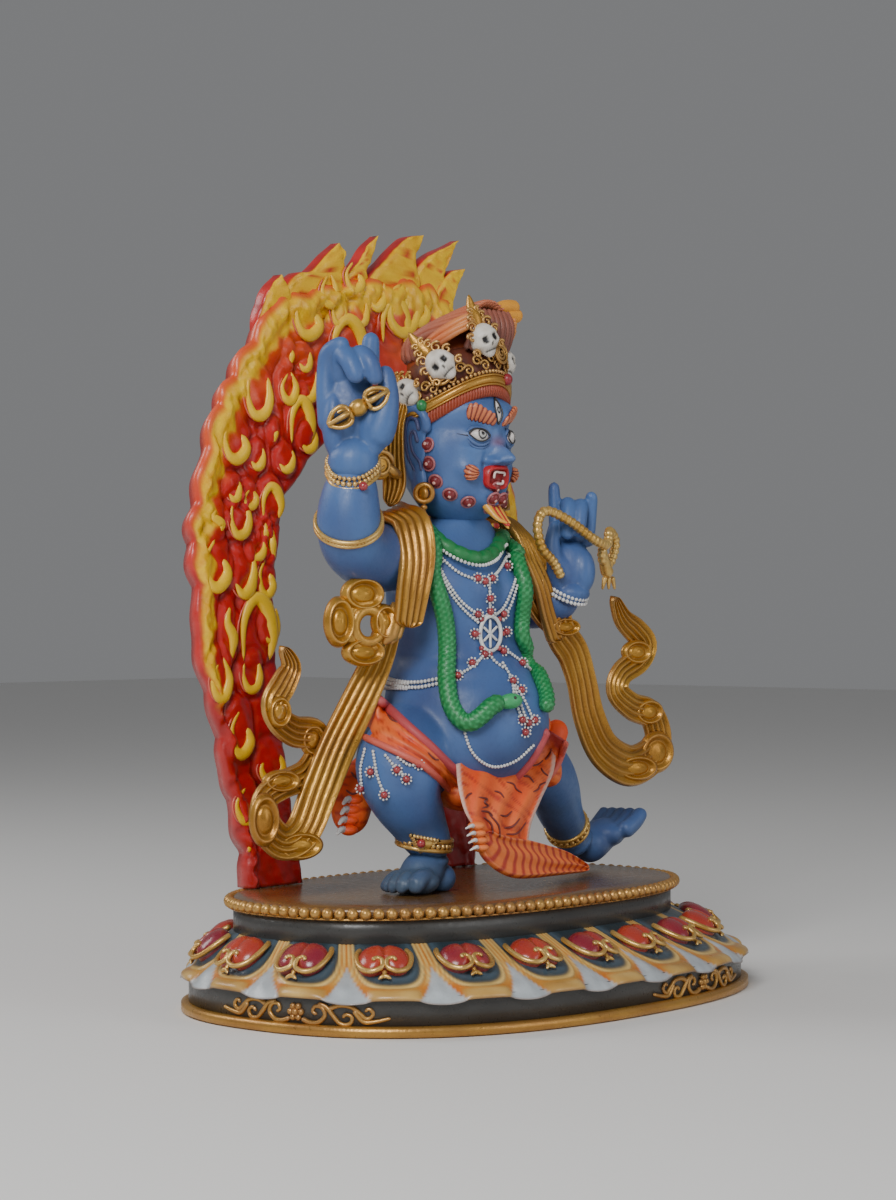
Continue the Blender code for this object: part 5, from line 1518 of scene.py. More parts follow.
def ribbon(points, widths, facings, thick, count, ridges=2.5, paint=None):
    """A carved band: lengthwise ridges between rolled borders, with a slightly domed back.

    Across runs u from -1 to 1. The front stands at thick * (0.16 + 0.24 cos(pi * ridges * u)^2
    + 0.36 roll), where the roll peaks at |u| = 0.86.
    """
    rows = even_line([(*p, w, *f) for p, w, f in zip(points, widths, facings)], count=count)
    path, wide, face = rows[:, :3], rows[:, 3] / 2, rows[:, 4:]
    gone = lengths_along(path)
    near = np.minimum(gone, gone[-1] - gone)
    wide = wide * np.sqrt(np.clip(1 - (1 - np.clip(near / 3.0, 0, 1)) ** 2, 0.05, 1))
    u = np.linspace(-1, 1, 31)
    drift = 0.5 * np.sin(gone / 13)[:, None]
    ridge = np.cos(math.pi * ridges * u[None, :] + drift * (1 - u[None, :] ** 2)) ** 2
    roll = np.exp(-((np.abs(u) - 0.86) / 0.10) ** 2)[None, :]
    inner = ease(0.80, 0.66, np.abs(u))[None, :]
    front = thick * np.sqrt(np.clip(1 - u ** 10, 0, 1)) * (0.16 + 0.26 * ridge * inner + 0.36 * roll)
    v = np.linspace(1, -1, 14)[1:-1]
    back = -thick * 0.42 * np.sqrt(1 - v ** 6) * np.ones((len(path), 1))
    heights = np.concatenate([front, back], 1)
    return profile_sweep(path, np.concatenate([u, v]), heights, wide, face, paint)


PAD_SIDE = np.array([0.958, -0.287, 0.0])
PAD_OUT = np.array([-0.287, -0.958, 0.0])
UPRIGHT = np.array([0, 0, 1.0])
PAD_ACROSS = 1.97
PAD_UP = 2.33


def cloud_pad(pixel, half_wide, half_tall, y, thick=3.2):
    """A rounded cloud lobe: a raised rim, a groove inside it and a domed middle."""
    middle = on_plane([pixel], y)[0]
    wide, tall = half_wide / PAD_ACROSS, half_tall / PAD_UP
    r = np.concatenate([np.linspace(0.04, 1, 22), np.linspace(1, 0.04, 9)[1:]])[:, None]
    back = (np.arange(len(r)) >= 22)[:, None]
    turn = round_turns(44)[None, :]
    front = thick * (0.50 * np.sqrt(np.clip(1 - r ** 6, 0, 1)) + 0.34 * np.exp(-((r - 0.80) / 0.11) ** 2)
                     - 0.26 * np.exp(-((r - 0.55) / 0.10) ** 2) + 0.30 * np.exp(-(r / 0.30) ** 2))
    high = np.where(back, -thick * 0.45 * np.sqrt(np.clip(1 - r ** 6, 0, 1)), front)
    a, b = r * np.cos(turn) * wide, r * np.sin(turn) * tall
    grid = (middle + a[..., None] * PAD_SIDE + b[..., None] * UPRIGHT
            + (high * np.ones_like(turn))[..., None] * PAD_OUT)
    return closed_grid(grid)


RIGHT_ROUTE = [(-50, 3, 121), (-52, 4, 112), (-55, 7, 98), (-62, 11, 81), (-71, 15, 62), (-80, 17, 44),
               (-89, 18, 28), (-100, 19, 24), (-109, 20, 32), (-108, 21, 42), (-98, 21, 47), (-84, 21, 51),
               (-76, 21, 59), (-79, 21, 67), (-90, 22, 69), (-99, 22, 74), (-102, 22, 81), (-96, 22, 89),
               (-92, 22, 96), (-97, 22, 104)]
RIGHT_WIDTHS = [12, 13, 15, 17, 18, 18, 17, 15, 14, 12, 12, 13, 14, 14, 13, 12, 12, 12, 9, 4]
LEFT_ROUTE = [(42, -12, 120), (45, -12, 109), (54, -12, 100), (60, -12, 88), (66, -12, 71), (77, -12, 56),
              (96, -12, 48), (113, -12, 52), (118, -12, 61), (112, -12, 71), (98, -12, 75), (87, -12, 82),
              (90, -12, 90), (103, -12, 96), (108, -12, 103), (101, -12, 109), (91, -12, 115), (84, -12, 125)]
LEFT_WIDTHS = [14, 16, 17, 16, 17, 18, 19, 18, 15, 14, 13, 12, 12, 13, 13, 13, 10, 4]
NEAR_SCARF = [(-8, 30, 150), (-26, 26, 158), (-40, 12, 160), (-44, -2, 156), (-47, -8, 142),
              (-50, -8, 126), (-50, -5, 112)]
NEAR_FACING = [(0, 1, 0.2), (-0.2, 0.9, 0.7), (-0.3, 0, 1), (-0.4, -0.7, 0.6), (-0.3, -1, 0),
               (-0.3, -1, 0), (-0.3, -1, 0)]
FAR_SCARF = [(-4, 30, 150), (14, 26, 158), (24, 8, 160), (25, -5, 152), (27, -10, 142), (33, -12, 130),
             (38, -12, 118), (44, -12, 106)]
FAR_FACING = [(0, 1, 0.2), (0.2, 0.9, 0.7), (0.2, 0, 1), (0.2, -0.8, 0.6), (0, -1, 0.2), (0, -1, 0.2),
              (0.1, -1, 0), (0.1, -1, 0)]


def build_scarves():
    """The gilt scarf: over the shoulders, knotted at the right arm, with two curling ends."""
    facing = [(-0.3, -1, 0)]
    right = [ribbon(lifted(RIGHT_ROUTE), RIGHT_WIDTHS, facing * 20, 4.6, 160)]
    right += [cloud_pad((299, 846), 23, 14, 18), cloud_pad((264, 820), 14, 26, 19),
              cloud_pad((281, 781), 18, 11, 20), cloud_pad((279, 712), 11, 16, 21),
              cloud_pad((312, 740), 12, 16, 21)]
    turn = round_turns(44)
    knot = on_plane([(366, 626)], 3)[0]
    ring = knot + 6.6 * np.cos(turn)[:, None] * PAD_SIDE + 6.8 * np.sin(turn)[:, None] * UPRIGHT
    outer = knot + (ring - knot) * 1.36 - PAD_OUT * 0.3
    right += [tube(ring + PAD_OUT * 1.4, 2.5, 14, facing=PAD_OUT, loop=True),
              tube(outer, 2.9, 14, facing=PAD_OUT, loop=True),
              cloud_pad((362, 594), 21, 17, 3, 4.4), cloud_pad((338, 622), 14, 25, 6, 4.8),
              cloud_pad((363, 652), 21, 14, 3, 4.4), cloud_pad((383, 622), 12, 18, 0, 4.8)]
    band = on_plane([(393, 602), (395, 612), (394, 624), (390, 636), (384, 644)], -2)
    right += [tube(band, 3.8, 14, facing=PAD_OUT, flat=0.8),
              tube(band + PAD_SIDE * 3.4, 2.2, 12, facing=PAD_OUT)]
    piece("right_scarf_end", right, GILT, ["right_scarf"])
    left = [ribbon(lifted(LEFT_ROUTE), LEFT_WIDTHS, facing * 18, 4.6, 160)]
    left += [cloud_pad((656, 752), 20, 23, -13), cloud_pad((636, 768), 24, 14, -13),
             cloud_pad((648, 712), 17, 14, -13), cloud_pad((636, 652), 17, 13, -13),
             cloud_pad((564, 627), 17, 10, -13, 3.6)]
    piece("left_scarf_end", left, GILT, ["left_scarf"])
    on_body = [ribbon(lifted(NEAR_SCARF), [16, 18, 18, 18, 18, 16, 14], NEAR_FACING, 5.0, 80),
               ribbon(lifted(FAR_SCARF), [14, 14, 14, 13, 13, 15, 16, 16], FAR_FACING, 5.0, 80)]
    elbow = on_plane([(540, 560), (532, 580), (536, 602), (552, 622), (575, 632)], -10)
    on_body.append(ribbon(elbow, [8, 11, 12, 12, 9], [(-0.4, -1, 0.1)] * 5, 4.4, 60))
    piece("shoulder_scarf", on_body, GILT)


# Tiger skin

def tiger_paint(points, seed=0):
    """Orange hide: broken dark stripes that wander across it, over pale and pink clouds."""
    paint = blend_paint(TIGER, TIGER_PALE,
                        0.35 + 0.45 * clouds(points, 26, seed))
    warp = points @ np.array([0.30, 0.10, 0.40]) + 2.2 * clouds(points, 24, seed + 1)
    stripe = ease(0.90, 0.97, np.abs(np.sin(warp))) * ease(-0.7, -0.5, clouds(points, 12, seed + 2))
    return blend_paint(paint, (0.46, 0.022, 0.012), stripe * 0.8)


def soften(grid, rounds):
    """A grid of points evened out along both of its ways."""
    for _ in range(rounds):
        rolled(rolled(grid, 1).swapaxes(0, 1), 1)
    return grid


def draped_sheet(grid, thick, swell_by, fold, seed, edge_tone=FUR):
    """A carved hide from a grid of places, folded like cloth and turned under at its rim.

    The face is raised towards the viewer by swell_by * (1 - u^4)(1 - v^4) and by waves of
    height fold, whose crests are painted paler as a painted highlight; the rim is painted in the edge's tone.
    """
    rows, cols = grid.shape[:2]
    u = np.linspace(-1, 1, rows)[:, None]
    v = np.linspace(-1, 1, cols)[None, :]
    way = unit(EYE - grid)
    wave = np.cos(3.1 * math.pi * v + 1.4 * u + 1.2 * np.sin(2 * u))
    high = swell_by * (1 - u ** 4) * (1 - v ** 4) + fold * wave * (1 - v ** 6) * (1 - u ** 8)
    rim = np.maximum(np.abs(u), np.abs(v))
    high = high + 0.9 * np.exp(-((np.abs(v) - 0.92) / 0.05) ** 2)
    front = grid + way * high[..., None]
    back = grid - way * thick
    # Painted highlight: the hide is paler on the crests of its folds.
    paint = blend_paint(tiger_paint(front, seed), TIGER_PALE, 0.45 * np.clip(wave, 0, 1))
    side = np.abs(v) if edge_tone is FUR else rim
    paint = blend_paint(paint, edge_tone, ease(0.90, 0.95, side + 0.02 * np.sin(60 * u + 50 * v)))
    return two_faced(front, back, paint, PINK_RED)


SASH_TOP = [(372, 690), (386, 702), (406, 722), (430, 744), (450, 764), (468, 778), (495, 786), (515, 775),
            (532, 755), (546, 728)]
SASH_LOW = [(358, 738), (372, 744), (400, 756), (424, 768), (446, 788), (466, 806), (500, 812), (530, 796),
            (556, 772), (568, 742)]
APRON_LEFT = [(456, 764, -20), (458, 786, -27), (464, 810, -29.5), (474, 828, -29.5), (488, 848, -28.5)]
APRON_RIGHT = [(556, 742, -16), (554, 770, -22), (541, 800, -26), (532, 822, -28), (528, 842, -27.5)]
TAIL_ROUTE = [(-31, -30, 25), (-25, -31, 19), (-14, -31, 15), (2, -29, 13), (18, -26, 11), (35, -23, 8.5),
              (54, -19, 4.5)]


# Dark strokes drawn on the hide, in pixels
HIDE_MARKS = (
    [(465, 799), (468, 795), (472, 793)], [(478, 797), (487, 799), (484, 802), (488, 806), (482, 808)],
    [(494, 791), (500, 793), (504, 798)], [(481, 811), (488, 812), (493, 816)],
    [(506, 782), (513, 784), (516, 789), (522, 793)], [(520, 772), (524, 776), (529, 777), (534, 783)],
    [(528, 761), (533, 765), (538, 764), (543, 760)], [(537, 746), (541, 744), (544, 738)],
    [(533, 792), (538, 789), (540, 785), (546, 782)], [(504, 828), (513, 826), (520, 818)],
    [(506, 834), (517, 833), (526, 822)], [(500, 815), (506, 816), (512, 811)],
    [(483, 817), (491, 824), (493, 834)], [(489, 814), (498, 825), (500, 838)],
    [(386, 712), (392, 720), (402, 724)], [(428, 752), (433, 758), (439, 760)],
    [(545, 760), (549, 755), (551, 748)], [(548, 776), (543, 772), (541, 768)],
    [(351, 772), (356, 778), (362, 779)], [(346, 790), (352, 794), (359, 792)],
)


def skirt_mass():
    """The hide wrapped round the hips, its hind leg behind and the tied end at the left hip."""
    return [swell(-7, 12, 62, 37, 28, 17), swell(-26, 12, 65, 25.5, 20.5, 14), swell(16, 8, 58, 26, 19, 15),
            swell(-13, -8, 42, 18, 18, 9),
            limb((-8, 26, 60, 11), (-30, 29, 50, 10.5), (-45, 27, 42, 9.5), (-52, 25, 31, 8.5),
                 (-56, 24, 25, 7)),
            limb((26, 0, 60, 9), (34, -6, 68, 7.5), (39, -8, 73, 5.5)),
            limb((33, -10, 62, 7), (36, -12, 52, 7), (31, -16, 42, 6))]


def build_skirt(tree):
    """Wrapped hide, sash, apron between the legs, tail, fur rims and claws."""
    mass = melted("tiger_hide", skirt_mass(), 1.4, 5, CLOTH)
    points = mesh_points(mass.data)
    around = np.arctan2(points[:, 1] - 8, points[:, 0] + 7)
    fold = 0.9 * np.sin(around * 11 + points[:, 2] * 0.10) * ease(20, 34, points[:, 2] - 30)
    out = unit((points - np.array([-7, 8, 0])) * (1, 1, 0))
    points = points + out * fold[:, None]
    mass.data.vertices.foreach_set("co", (points * MM).ravel())
    mass.data.update()
    paint_mesh(mass, tiger_paint(points, 70))
    rows = np.linspace(0, 1, 15)[None, :, None]
    top = smooth_line([(*p, 0) for p in SASH_TOP], 90)[:, None, :2]
    low = smooth_line([(*p, 0) for p in SASH_LOW], 90)[:, None, :2]
    pixels = (top * (1 - rows) + low * rows).reshape(-1, 2)
    sash = soften(laid(pixels, tree, 0.0).reshape(90, 15, 3), 8)
    left = smooth_line(APRON_LEFT, 60)
    right = smooth_line(APRON_RIGHT, 60)
    share = np.linspace(0, 1, 40)
    apron = np.array([[on_plane([(1 - t) * a[:2] + t * b[:2]], (1 - t) * a[2] + t * b[2])[0] for t in share]
                      for a, b in zip(left, right)])
    sheets = [draped_sheet(sash, 3.0, 3.4, 0.9, 80, PINK_RED), draped_sheet(apron, 3.0, 2.2, 1.3, 90)]
    tail_rows = 150
    bend = np.linspace(0, 1, tail_rows)[:, None]
    tail_share = np.concatenate([np.linspace(-1, 1, 31), np.linspace(1, -1, 14)[1:-1]])[None, :]
    ribs = ease(0.35, 0.75, np.abs(np.sin(bend * 46 - 2.2 * (1 - tail_share ** 2))))
    tone = blend_paint((0.50, 0.05, 0.03), TIGER_PALE, ribs)
    sheets.append(ribbon(lifted(TAIL_ROUTE), [9, 15, 18, 17, 14, 10, 3], [(-0.3, -1, 0.35)] * 7, 5.0,
                         tail_rows, 1.0, tone))
    hide = piece("hide_sheets", sheets, CLOTH)
    marks = []
    for stroke in HIDE_MARKS:
        line = laid([p[:2] for p in smooth_line([(*p, 0) for p in stroke], 26)], carrier(hide, mass), 0.1)
        marks.append(tube(line, 0.5 * np.sqrt(np.sin(np.linspace(0.25, math.pi - 0.25, 26))), 7,
                          paint=STRIPE))
    piece("hide_marks", marks, CLOTH)
    rolls = [tube(sash[:, 1] + unit(EYE - sash[:, 1]) * 2.4, 2.1, 12,
                  paint=PINK_RED),
             tube(sash[:, 13] + unit(EYE - sash[:, 13]) * 1.6, 1.5, 12,
                  paint=(0.70, 0.12, 0.08))]
    tip = on_plane([(548, 752), (553, 740), (558, 729), (562, 722)], -10)
    rolls.append(tube(even_line(tip, count=40), np.linspace(6.5, 4.6, 40), 18, facing=(-0.7, -0.7, 0),
                      flat=0.7, paint=TIGER))
    for k in range(4):
        place = on_plane([(476 + 1.5 * k, 826 + 7.2 * k)], -31)[0]
        rolls.append(egg(place, (3.6, 3.0, 1.9), [(0.76, -0.64, 0), (0.64, 0.76, 0), (0, 0, 1)],
                         paint=TIGER_PALE))
        place = on_plane([(355 - 2 * k, 800 + 10 * k)], 21)[0]
        rolls.append(egg(place, (4.2, 3.4, 2.4), paint=TIGER))
    piece("hide_rolls", rolls, CLOTH)
    claws = []
    for k in range(4):
        root = on_plane([(473 + 1.5 * k, 826 + 7.2 * k)], -32)[0]
        end = on_plane([(465 + 1.5 * k, 829 + 7.2 * k)], -32.5)[0]
        line = even_line([root, (root + end) / 2 + (0, -1.2, 0.8), end], count=14)
        claws.append(tube(line, np.linspace(1.1, 0.35, 14), 8))
        root = on_plane([(350 - 2 * k, 800 + 10 * k)], 22)[0]
        line = even_line([root, root + (-4, -2, 0.6), root + (-8, -3, -1.4)], count=12)
        claws.append(tube(line, np.linspace(1.9, 0.6, 12), 8))
    piece("claws", claws, BEADWORK)


# Crown and hair

# Turn round the crown, height and lean of each skull
SKULLS = ((-88, 211, 45), (-43, 225, 22), (16, 233.5, -22), (60, 222.5, -48), (100, 211, -60))


# The cap's ways across, back and up, leaning to the front
LEANING = ((1, 0, 0), (0, 0.94, -0.34), (0, 0.34, 0.94))


def crown_point(turn, up, out=0.0):
    """A place round the tilted crown: turn 0 in front, up above the brow band."""
    x, y = np.sin(turn), -np.cos(turn)
    rise = 203 + 14.5 * np.clip(np.cos(turn), 0, 1) ** 1.5 - 6 * np.clip(-np.cos(turn), 0, 1)
    return np.stack([-7 + (23.0 + out) * x, 7 + (22.6 + out) * y, rise + PLATE_TOP + up + 0 * x], -1)


def crown_strip(low, high, out, bulge, count=180, ribs=0, paint=None):
    """A band round the crown: an oval bank between two heights, cut into ribs where asked."""
    turn = round_turns(count)[:, None]
    around = round_turns(12)[None, :]
    rib = 1 - 0.35 * np.abs(np.sin(turn * ribs / 2)) ** 4 if ribs else np.ones_like(turn)
    up = (low + high) / 2 + (high - low) / 2 * np.cos(around) + 0 * turn
    side = out + bulge * np.sin(around) * rib
    return closed_grid(crown_point(turn + 0 * around, up, side), loop=True, paint=paint)


def skull(turn, high, lean):
    """A small painted skull: an egg narrowed at the jaw, dented at its sockets and nose."""
    a = math.radians(-turn)
    reach = 22.5 if turn < 0 else 25.5
    middle = np.array([-7 + reach * math.sin(a), 6 - (reach - 1) * math.cos(a), high + PLATE_TOP])
    out = np.array([math.sin(a), -math.cos(a), 0.15])
    out = out / np.linalg.norm(out)
    level = unit(np.cross((0, 0, 1.0), out))
    plumb = np.cross(out, level)
    c, s = math.cos(math.radians(lean)), -math.sin(math.radians(lean))
    side, up = level * c + plumb * s, plumb * c - level * s
    t = np.linspace(0.05, math.pi - 0.05, 30)[:, None]
    spin = round_turns(44)[None, :]
    x, y, z = np.sin(t) * np.sin(spin), np.sin(t) * np.cos(spin), np.cos(t) + 0 * spin
    narrow = 1 - 0.32 * ease(-0.15, -0.7, z) + 0.06 * np.exp(-((z + 0.25) / 0.2) ** 2)
    px, pz = x * 6.4 * narrow, z * 7.6
    socket = sum(np.exp(-((px - k * 2.5) / 1.7) ** 2 - ((pz - 0.1) / 2.0) ** 2) for k in (-1, 1)) * (y > 0)
    nose = np.exp(-(px / 0.7) ** 2 - ((pz + 2.4) / 0.8) ** 2) * (y > 0)
    mouth_line = np.exp(-((pz + 4.7) / 0.40) ** 2) * ease(3.4, 2.6, np.abs(px)) * (y > 0)
    brow = np.exp(-((pz - 2.4) / 0.9) ** 2) * (y > 0)
    py = y * 5.4 * narrow - 1.5 * socket - 0.8 * nose - 0.5 * mouth_line + 0.5 * brow
    grid = middle + px[..., None] * side + pz[..., None] * up + py[..., None] * out
    paint = blend_paint((0.82, 0.78, 0.70), (0.60, 0.52, 0.42),
                        0.3 + 0.4 * clouds(grid, 6, 100))
    teeth = ease(0.6, 0.9, np.abs(np.sin(px * 3.2))) * np.exp(-((pz + 4.7) / 1.0) ** 2) * (y > 0)
    dark = np.maximum(np.maximum(ease(0.35, 0.55, socket), ease(0.4, 0.6, nose)), mouth_line)
    paint = blend_paint(paint, BLACK, np.maximum(dark, 0.6 * teeth * ease(3.2, 2.4, np.abs(px))))
    return closed_grid(grid, paint=paint), middle, side, up, out


def crown_ways(a):
    """The ways across and up at a turn round the crown."""
    out = np.array([math.sin(a), -math.cos(a), 0.2])
    side = unit(np.cross(UPRIGHT, out))
    return side, np.cross(out, side)


def volute(middle, side, up, size, turns, flip, thick):
    """A gold spiral whose cord thins as it winds in."""
    spin = np.linspace(0, 2 * math.pi * turns, int(11 * turns) + 5)
    reach = size * (1 - 0.82 * spin / spin[-1])
    path = (middle + flip * (reach * np.cos(spin))[:, None] * side + (reach * np.sin(spin))[:, None] * up)
    return tube(path, thick * np.linspace(1, 0.7, len(spin)), 6)


def crown_gold():
    """Brow band, filigree on the cap, and a pointed finial over each skull."""
    shapes = [crown_strip(-1.8, 1.6, 1.8, 1.6), crown_strip(1.4, 2.4, 2.4, 0.7),
              crown_strip(-2.6, -1.6, 2.4, 0.7)]
    turn = round_turns(84)
    shapes.append(copies(SMALL_BALL, crown_point(turn, 3.4, 2.4), 0.95))
    for k in range(40):
        a = 2 * math.pi * (k + 0.5) / 40
        middle = crown_point(np.array(a), 6.2 + 2.8 * (k % 2), 1.8 - 0.4 * (k % 2))
        side, up = crown_ways(a)
        shapes.append(volute(middle, side, up, 2.5, 1.4, 1 if k % 2 else -1, 0.62))
    for pose in SKULLS:
        _, middle, side, up, out = skull(*pose)
        root = middle + up * 6.0 + out * 0.6
        spine = even_line([root, root + up * 4.5, root + up * 9 - out * 0.5,
                           root + up * 14.5 + side * 1.0], count=26)
        share = np.linspace(0, 1, 26)
        wide = 2.4 * np.sin(math.pi * np.clip(share * 0.86 + 0.14, 0, 1)) ** 0.8 + 0.3
        shapes.append(tube(spine, wide, 14, facing=out, flat=0.5))
        for flip in (-1, 1):
            for high, far, size in ((7.0, 4.2, 2.6), (3.0, 6.6, 2.2), (-4.0, 6.9, 1.9), (10.5, 2.8, 2.0),
                                    (13.6, 1.7, 1.5)):
                shapes.append(volute(middle + up * high + side * far * flip + out * 0.9, side, up, size, 1.3,
                                     flip, 0.75))
    for a, high in ((0.15, 12.0), (-0.22, 15.5), (-1.05, 11.0), (1.0, 9.0)):
        middle = crown_point(np.array(a), high, 2.2)
        side, up = crown_ways(a)
        shapes.append(volute(middle, side, up, 4.2, 2.2, 1, 0.8))
        shapes.append(tube(circle(middle, side, up, 4.6, 30), 0.7, 8, loop=True))
    return shapes


def hair_lock(line, thick, tone, tip_tone):
    """Three strands side by side along a line, tapered to the tip; the middle one is painted paler as a
    painted highlight and the side ones darker as painted shade.
    """
    shapes = []
    rows = even_line(lifted(line), count=22)
    share = np.linspace(0, 1, 22)
    along = unit(np.gradient(rows, axis=0))
    away = unit(rows - np.array([-6, 6, 222 + PLATE_TOP]))
    beside = unit(np.cross(along, away))
    for strand in (-1, 0, 1):
        path = rows + beside * (strand * thick * 0.72 * (1 - 0.35 * share))[:, None]
        path = path + away * (0.35 * thick * (strand == 0))
        radius = thick * 0.56 * (1 - 0.35 * share ** 3)
        # The middle strand is painted paler as a painted highlight, the side strands darker as painted shade.
        shade = np.asarray(tone) * (1.12 if strand == 0 else 0.85)
        paint = blend_paint(shade, tip_tone, ease(0.3, 1, share) * 0.7)
        shapes.append(tube(path, radius, 8, paint=paint))
    return shapes


def hair():
    """Combed locks that sweep from the back and sides up over the cap to a curl in front.

    Each lock keeps its own share w across the head, from -1 to 1; upper locks are
    pink-brown and lower ones orange.
    """
    shapes = []
    pink, orange, brown = (0.34, 0.085, 0.045), HAIR, (0.17, 0.035, 0.016)
    for w in np.linspace(-0.96, 0.96, 15):
        s = math.sqrt(1 - w * w)
        line = [(-6 + 19 * w, 9 + 17 * s, 225), (-6 + 20 * w, 10 + 14 * s, 232),
                (-6 + 18.5 * w, 5 + 7 * s, 241 - 4 * w * w),
                (-5 + 16 * w, -4, 248 - 8 * w * w), (-4 + 14 * w, -13, 250.5 - 9 * w * w)]
        shapes += hair_lock(line, 3.2, pink, HAIR)
    for side in (-1, 1):
        for drop in (0, 1):
            line = [(-6 + side * (19.5 + drop), 6 - drop, 231 - 3 * drop),
                    (-6 + side * (19.5 + drop), -2, 236 - 3 * drop),
                    (-5.5 + side * (17 + drop), -9, 240.5 - 3 * drop),
                    (-5 + side * 13.5, -15, 244 - 3 * drop)]
            shapes += hair_lock(line, 2.6, orange, HAIR_PALE)
    for k in range(8):
        x = -16 + 3.1 * k
        line = [(x - 1, -12, 229), (x - 0.5, -14.5, 235), (x, -15, 241), (x + 1, -12, 247)]
        shapes += hair_lock(line, 2.8, brown, pink)
    for lock in ([(492, 311), (505, 307), (517, 308)], [(493, 320), (507, 316), (520, 316)],
                 [(495, 329), (505, 326), (514, 323)]):
        shapes.append(tube(even_line(on_plane(lock, -9), count=24), np.linspace(2.6, 3.4, 24), 14,
                           paint=(0.86, 0.36, 0.02)))
    shapes.append(egg((-6, 7, 222 + PLATE_TOP), (20.5, 19.5, 20), LEANING, 30, 44, (0.30, 0.06, 0.02)))
    return shapes


def build_crown():
    """Cap, hairline, hair, skulls, gold band and jewels."""
    cap = [egg((-7, 8, 207 + PLATE_TOP), (23.6, 23.2, 17), rows=40, cols=60),
           egg((-6.5, 5.5, 218 + PLATE_TOP), (22.6, 21.8, 16), LEANING, 40, 60)]
    for shape in cap:
        shape["paint"] = blend_paint(CAP_BROWN,
                                     (0.22, 0.06, 0.03), 0.4 + 0.4 * clouds(shape["points"], 9, 110))
    piece("cap", cap, STRANDS)
    turn = round_turns(720)[:, None]
    tuck = 0.9 - 2.6 * ease(0.3, 0.1, np.cos(turn))
    ribbed = crown_strip(-7.6, -1.6, tuck, 2.0, 720, 120, (0.34, 0.045, 0.010))
    piece("hairline", [ribbed], STRANDS)
    piece("hair", hair(), STRANDS)
    piece("crown_gold", crown_gold(), GILT)
    piece("skulls", [skull(*pose)[0] for pose in SKULLS], BONE)
    for name, place, tone in (("brow_jewel", -1.36, GREEN), ("front_jewel", 0.3, JEWEL)):
        middle = crown_point(np.array(place), 1.2, 3.4)
        gem = egg(middle, (2.3, 2.3, 2.6), rows=14, cols=20, paint=tone)
        piece(name, [gem], FACE)


def build_ear_gold():
    """Ear-rings, the ribbons behind the ears and their scroll bows."""
    shapes = []
    for side in (-1, 1):
        x = -6 + 26.0 * side
        turn = round_turns(40)
        ring = np.array([x, 1.0, 168.5 + PLATE_TOP]) + 3.6 * np.stack(
            [0.5 * side * np.cos(turn), 0.86 * np.cos(turn), np.sin(turn)], 1)
        shapes.append(tube(ring, 1.2, 12, loop=True))
        shapes.append(egg((x + 0.3 * side, 1.0, 168.5 + PLATE_TOP), (1.4, 2.6, 2.8)))
        for k in range(5):
            shapes.append(egg((x + 0.8 * (k % 2) * side, 1.0, 162.5 - 2.0 * k + PLATE_TOP), (1.5, 1.5, 1.3)))
        back = -6 + 30 * side
        line = lifted([(back - 1 * side, 11, 207), (back + 2 * side, 12, 197), (back + 4 * side, 11, 185),
                       (back + 6 * side, 9, 172), (back + 9 * side, 9, 163)])
        shapes.append(ribbon(line, [7, 8, 9, 10, 6], [(side * 1.0, -0.8, 0)] * 5, 3.6, 70))
        disc = np.array([-6 + 49 * side, 6, 180 + PLATE_TOP])
        if side > 0:
            disc = np.array([27.0, 8, 172 + PLATE_TOP])
        away = unit(np.array([side * 0.35 if side > 0 else -0.3, -1, 0.0]))
        across = unit(np.cross((0, 0, 1.0), away))
        up = np.array([0, 0, 1.0])
        size = 6.6 if side < 0 else 5.5
        shapes.append(egg(disc, (size, size, 2.2), [across, up, away], 16, 30))
        shapes.append(volute(disc + away * 1.7, across, up, size * 0.92, 2.0, -side, 1.25))
        tie = [disc + across * 2, disc - across * side * 7 - up * 3, (back + 2 * side, 10, 176 + PLATE_TOP)]
        shapes.append(tube(even_line(tie, count=30), 2.2, 10))
    piece("ear_gold", shapes, GILT)


# Snake, beads and jewels

def path_on(pixels, tree, lift, count=None, step=1.0, rounds=3):
    """A line of pixels dropped on the body, evened out and lifted clear of it."""
    dense = smooth_line([(*p, 0) for p in pixels], 12 * len(pixels))[:, :2]
    rows = laid(dense, tree, lift)
    return even_line(rolled(rows, rounds), step=step, count=count, smooth=False)


def closed_path(points, step):
    """A loop through points, evenly spread, without its first point repeated."""
    points = np.asarray(points)
    return even_line(np.vstack([points, points[:1]]), step=step)[:-1]


# The distance from one row of scales to the next, in mm
SCALE_PITCH = 2.6


def scaled_skin(path, radius):
    """A snake's skin: a tube with rows of overlapping scales raised in a diamond pattern."""
    _, up, side = cross_frames(path)
    gone = lengths_along(path)[:, None]
    turn = round_turns(26)[None, :]
    phase = gone / SCALE_PITCH * math.pi
    scale = np.abs(np.sin(phase + turn * 3) * np.sin(phase - turn * 3))
    near = np.minimum(gone, gone[-1] - gone)
    ends = np.sqrt(np.clip(1 - (1 - np.clip(near / radius, 0, 1)) ** 2, 0.03, 1))
    reach = radius * ends * (0.90 + 0.16 * scale)
    grid = (path[:, None] + (reach * np.cos(turn))[..., None] * side[:, None]
            + (reach * np.sin(turn))[..., None] * up[:, None])
    paint = blend_paint(GREEN, GREEN_PALE, ease(0.25, 0.8, scale))
    paint = blend_paint(paint, GREEN, 0.3 + 0.4 * clouds(grid, 18, 120))
    return closed_grid(grid, paint=paint)


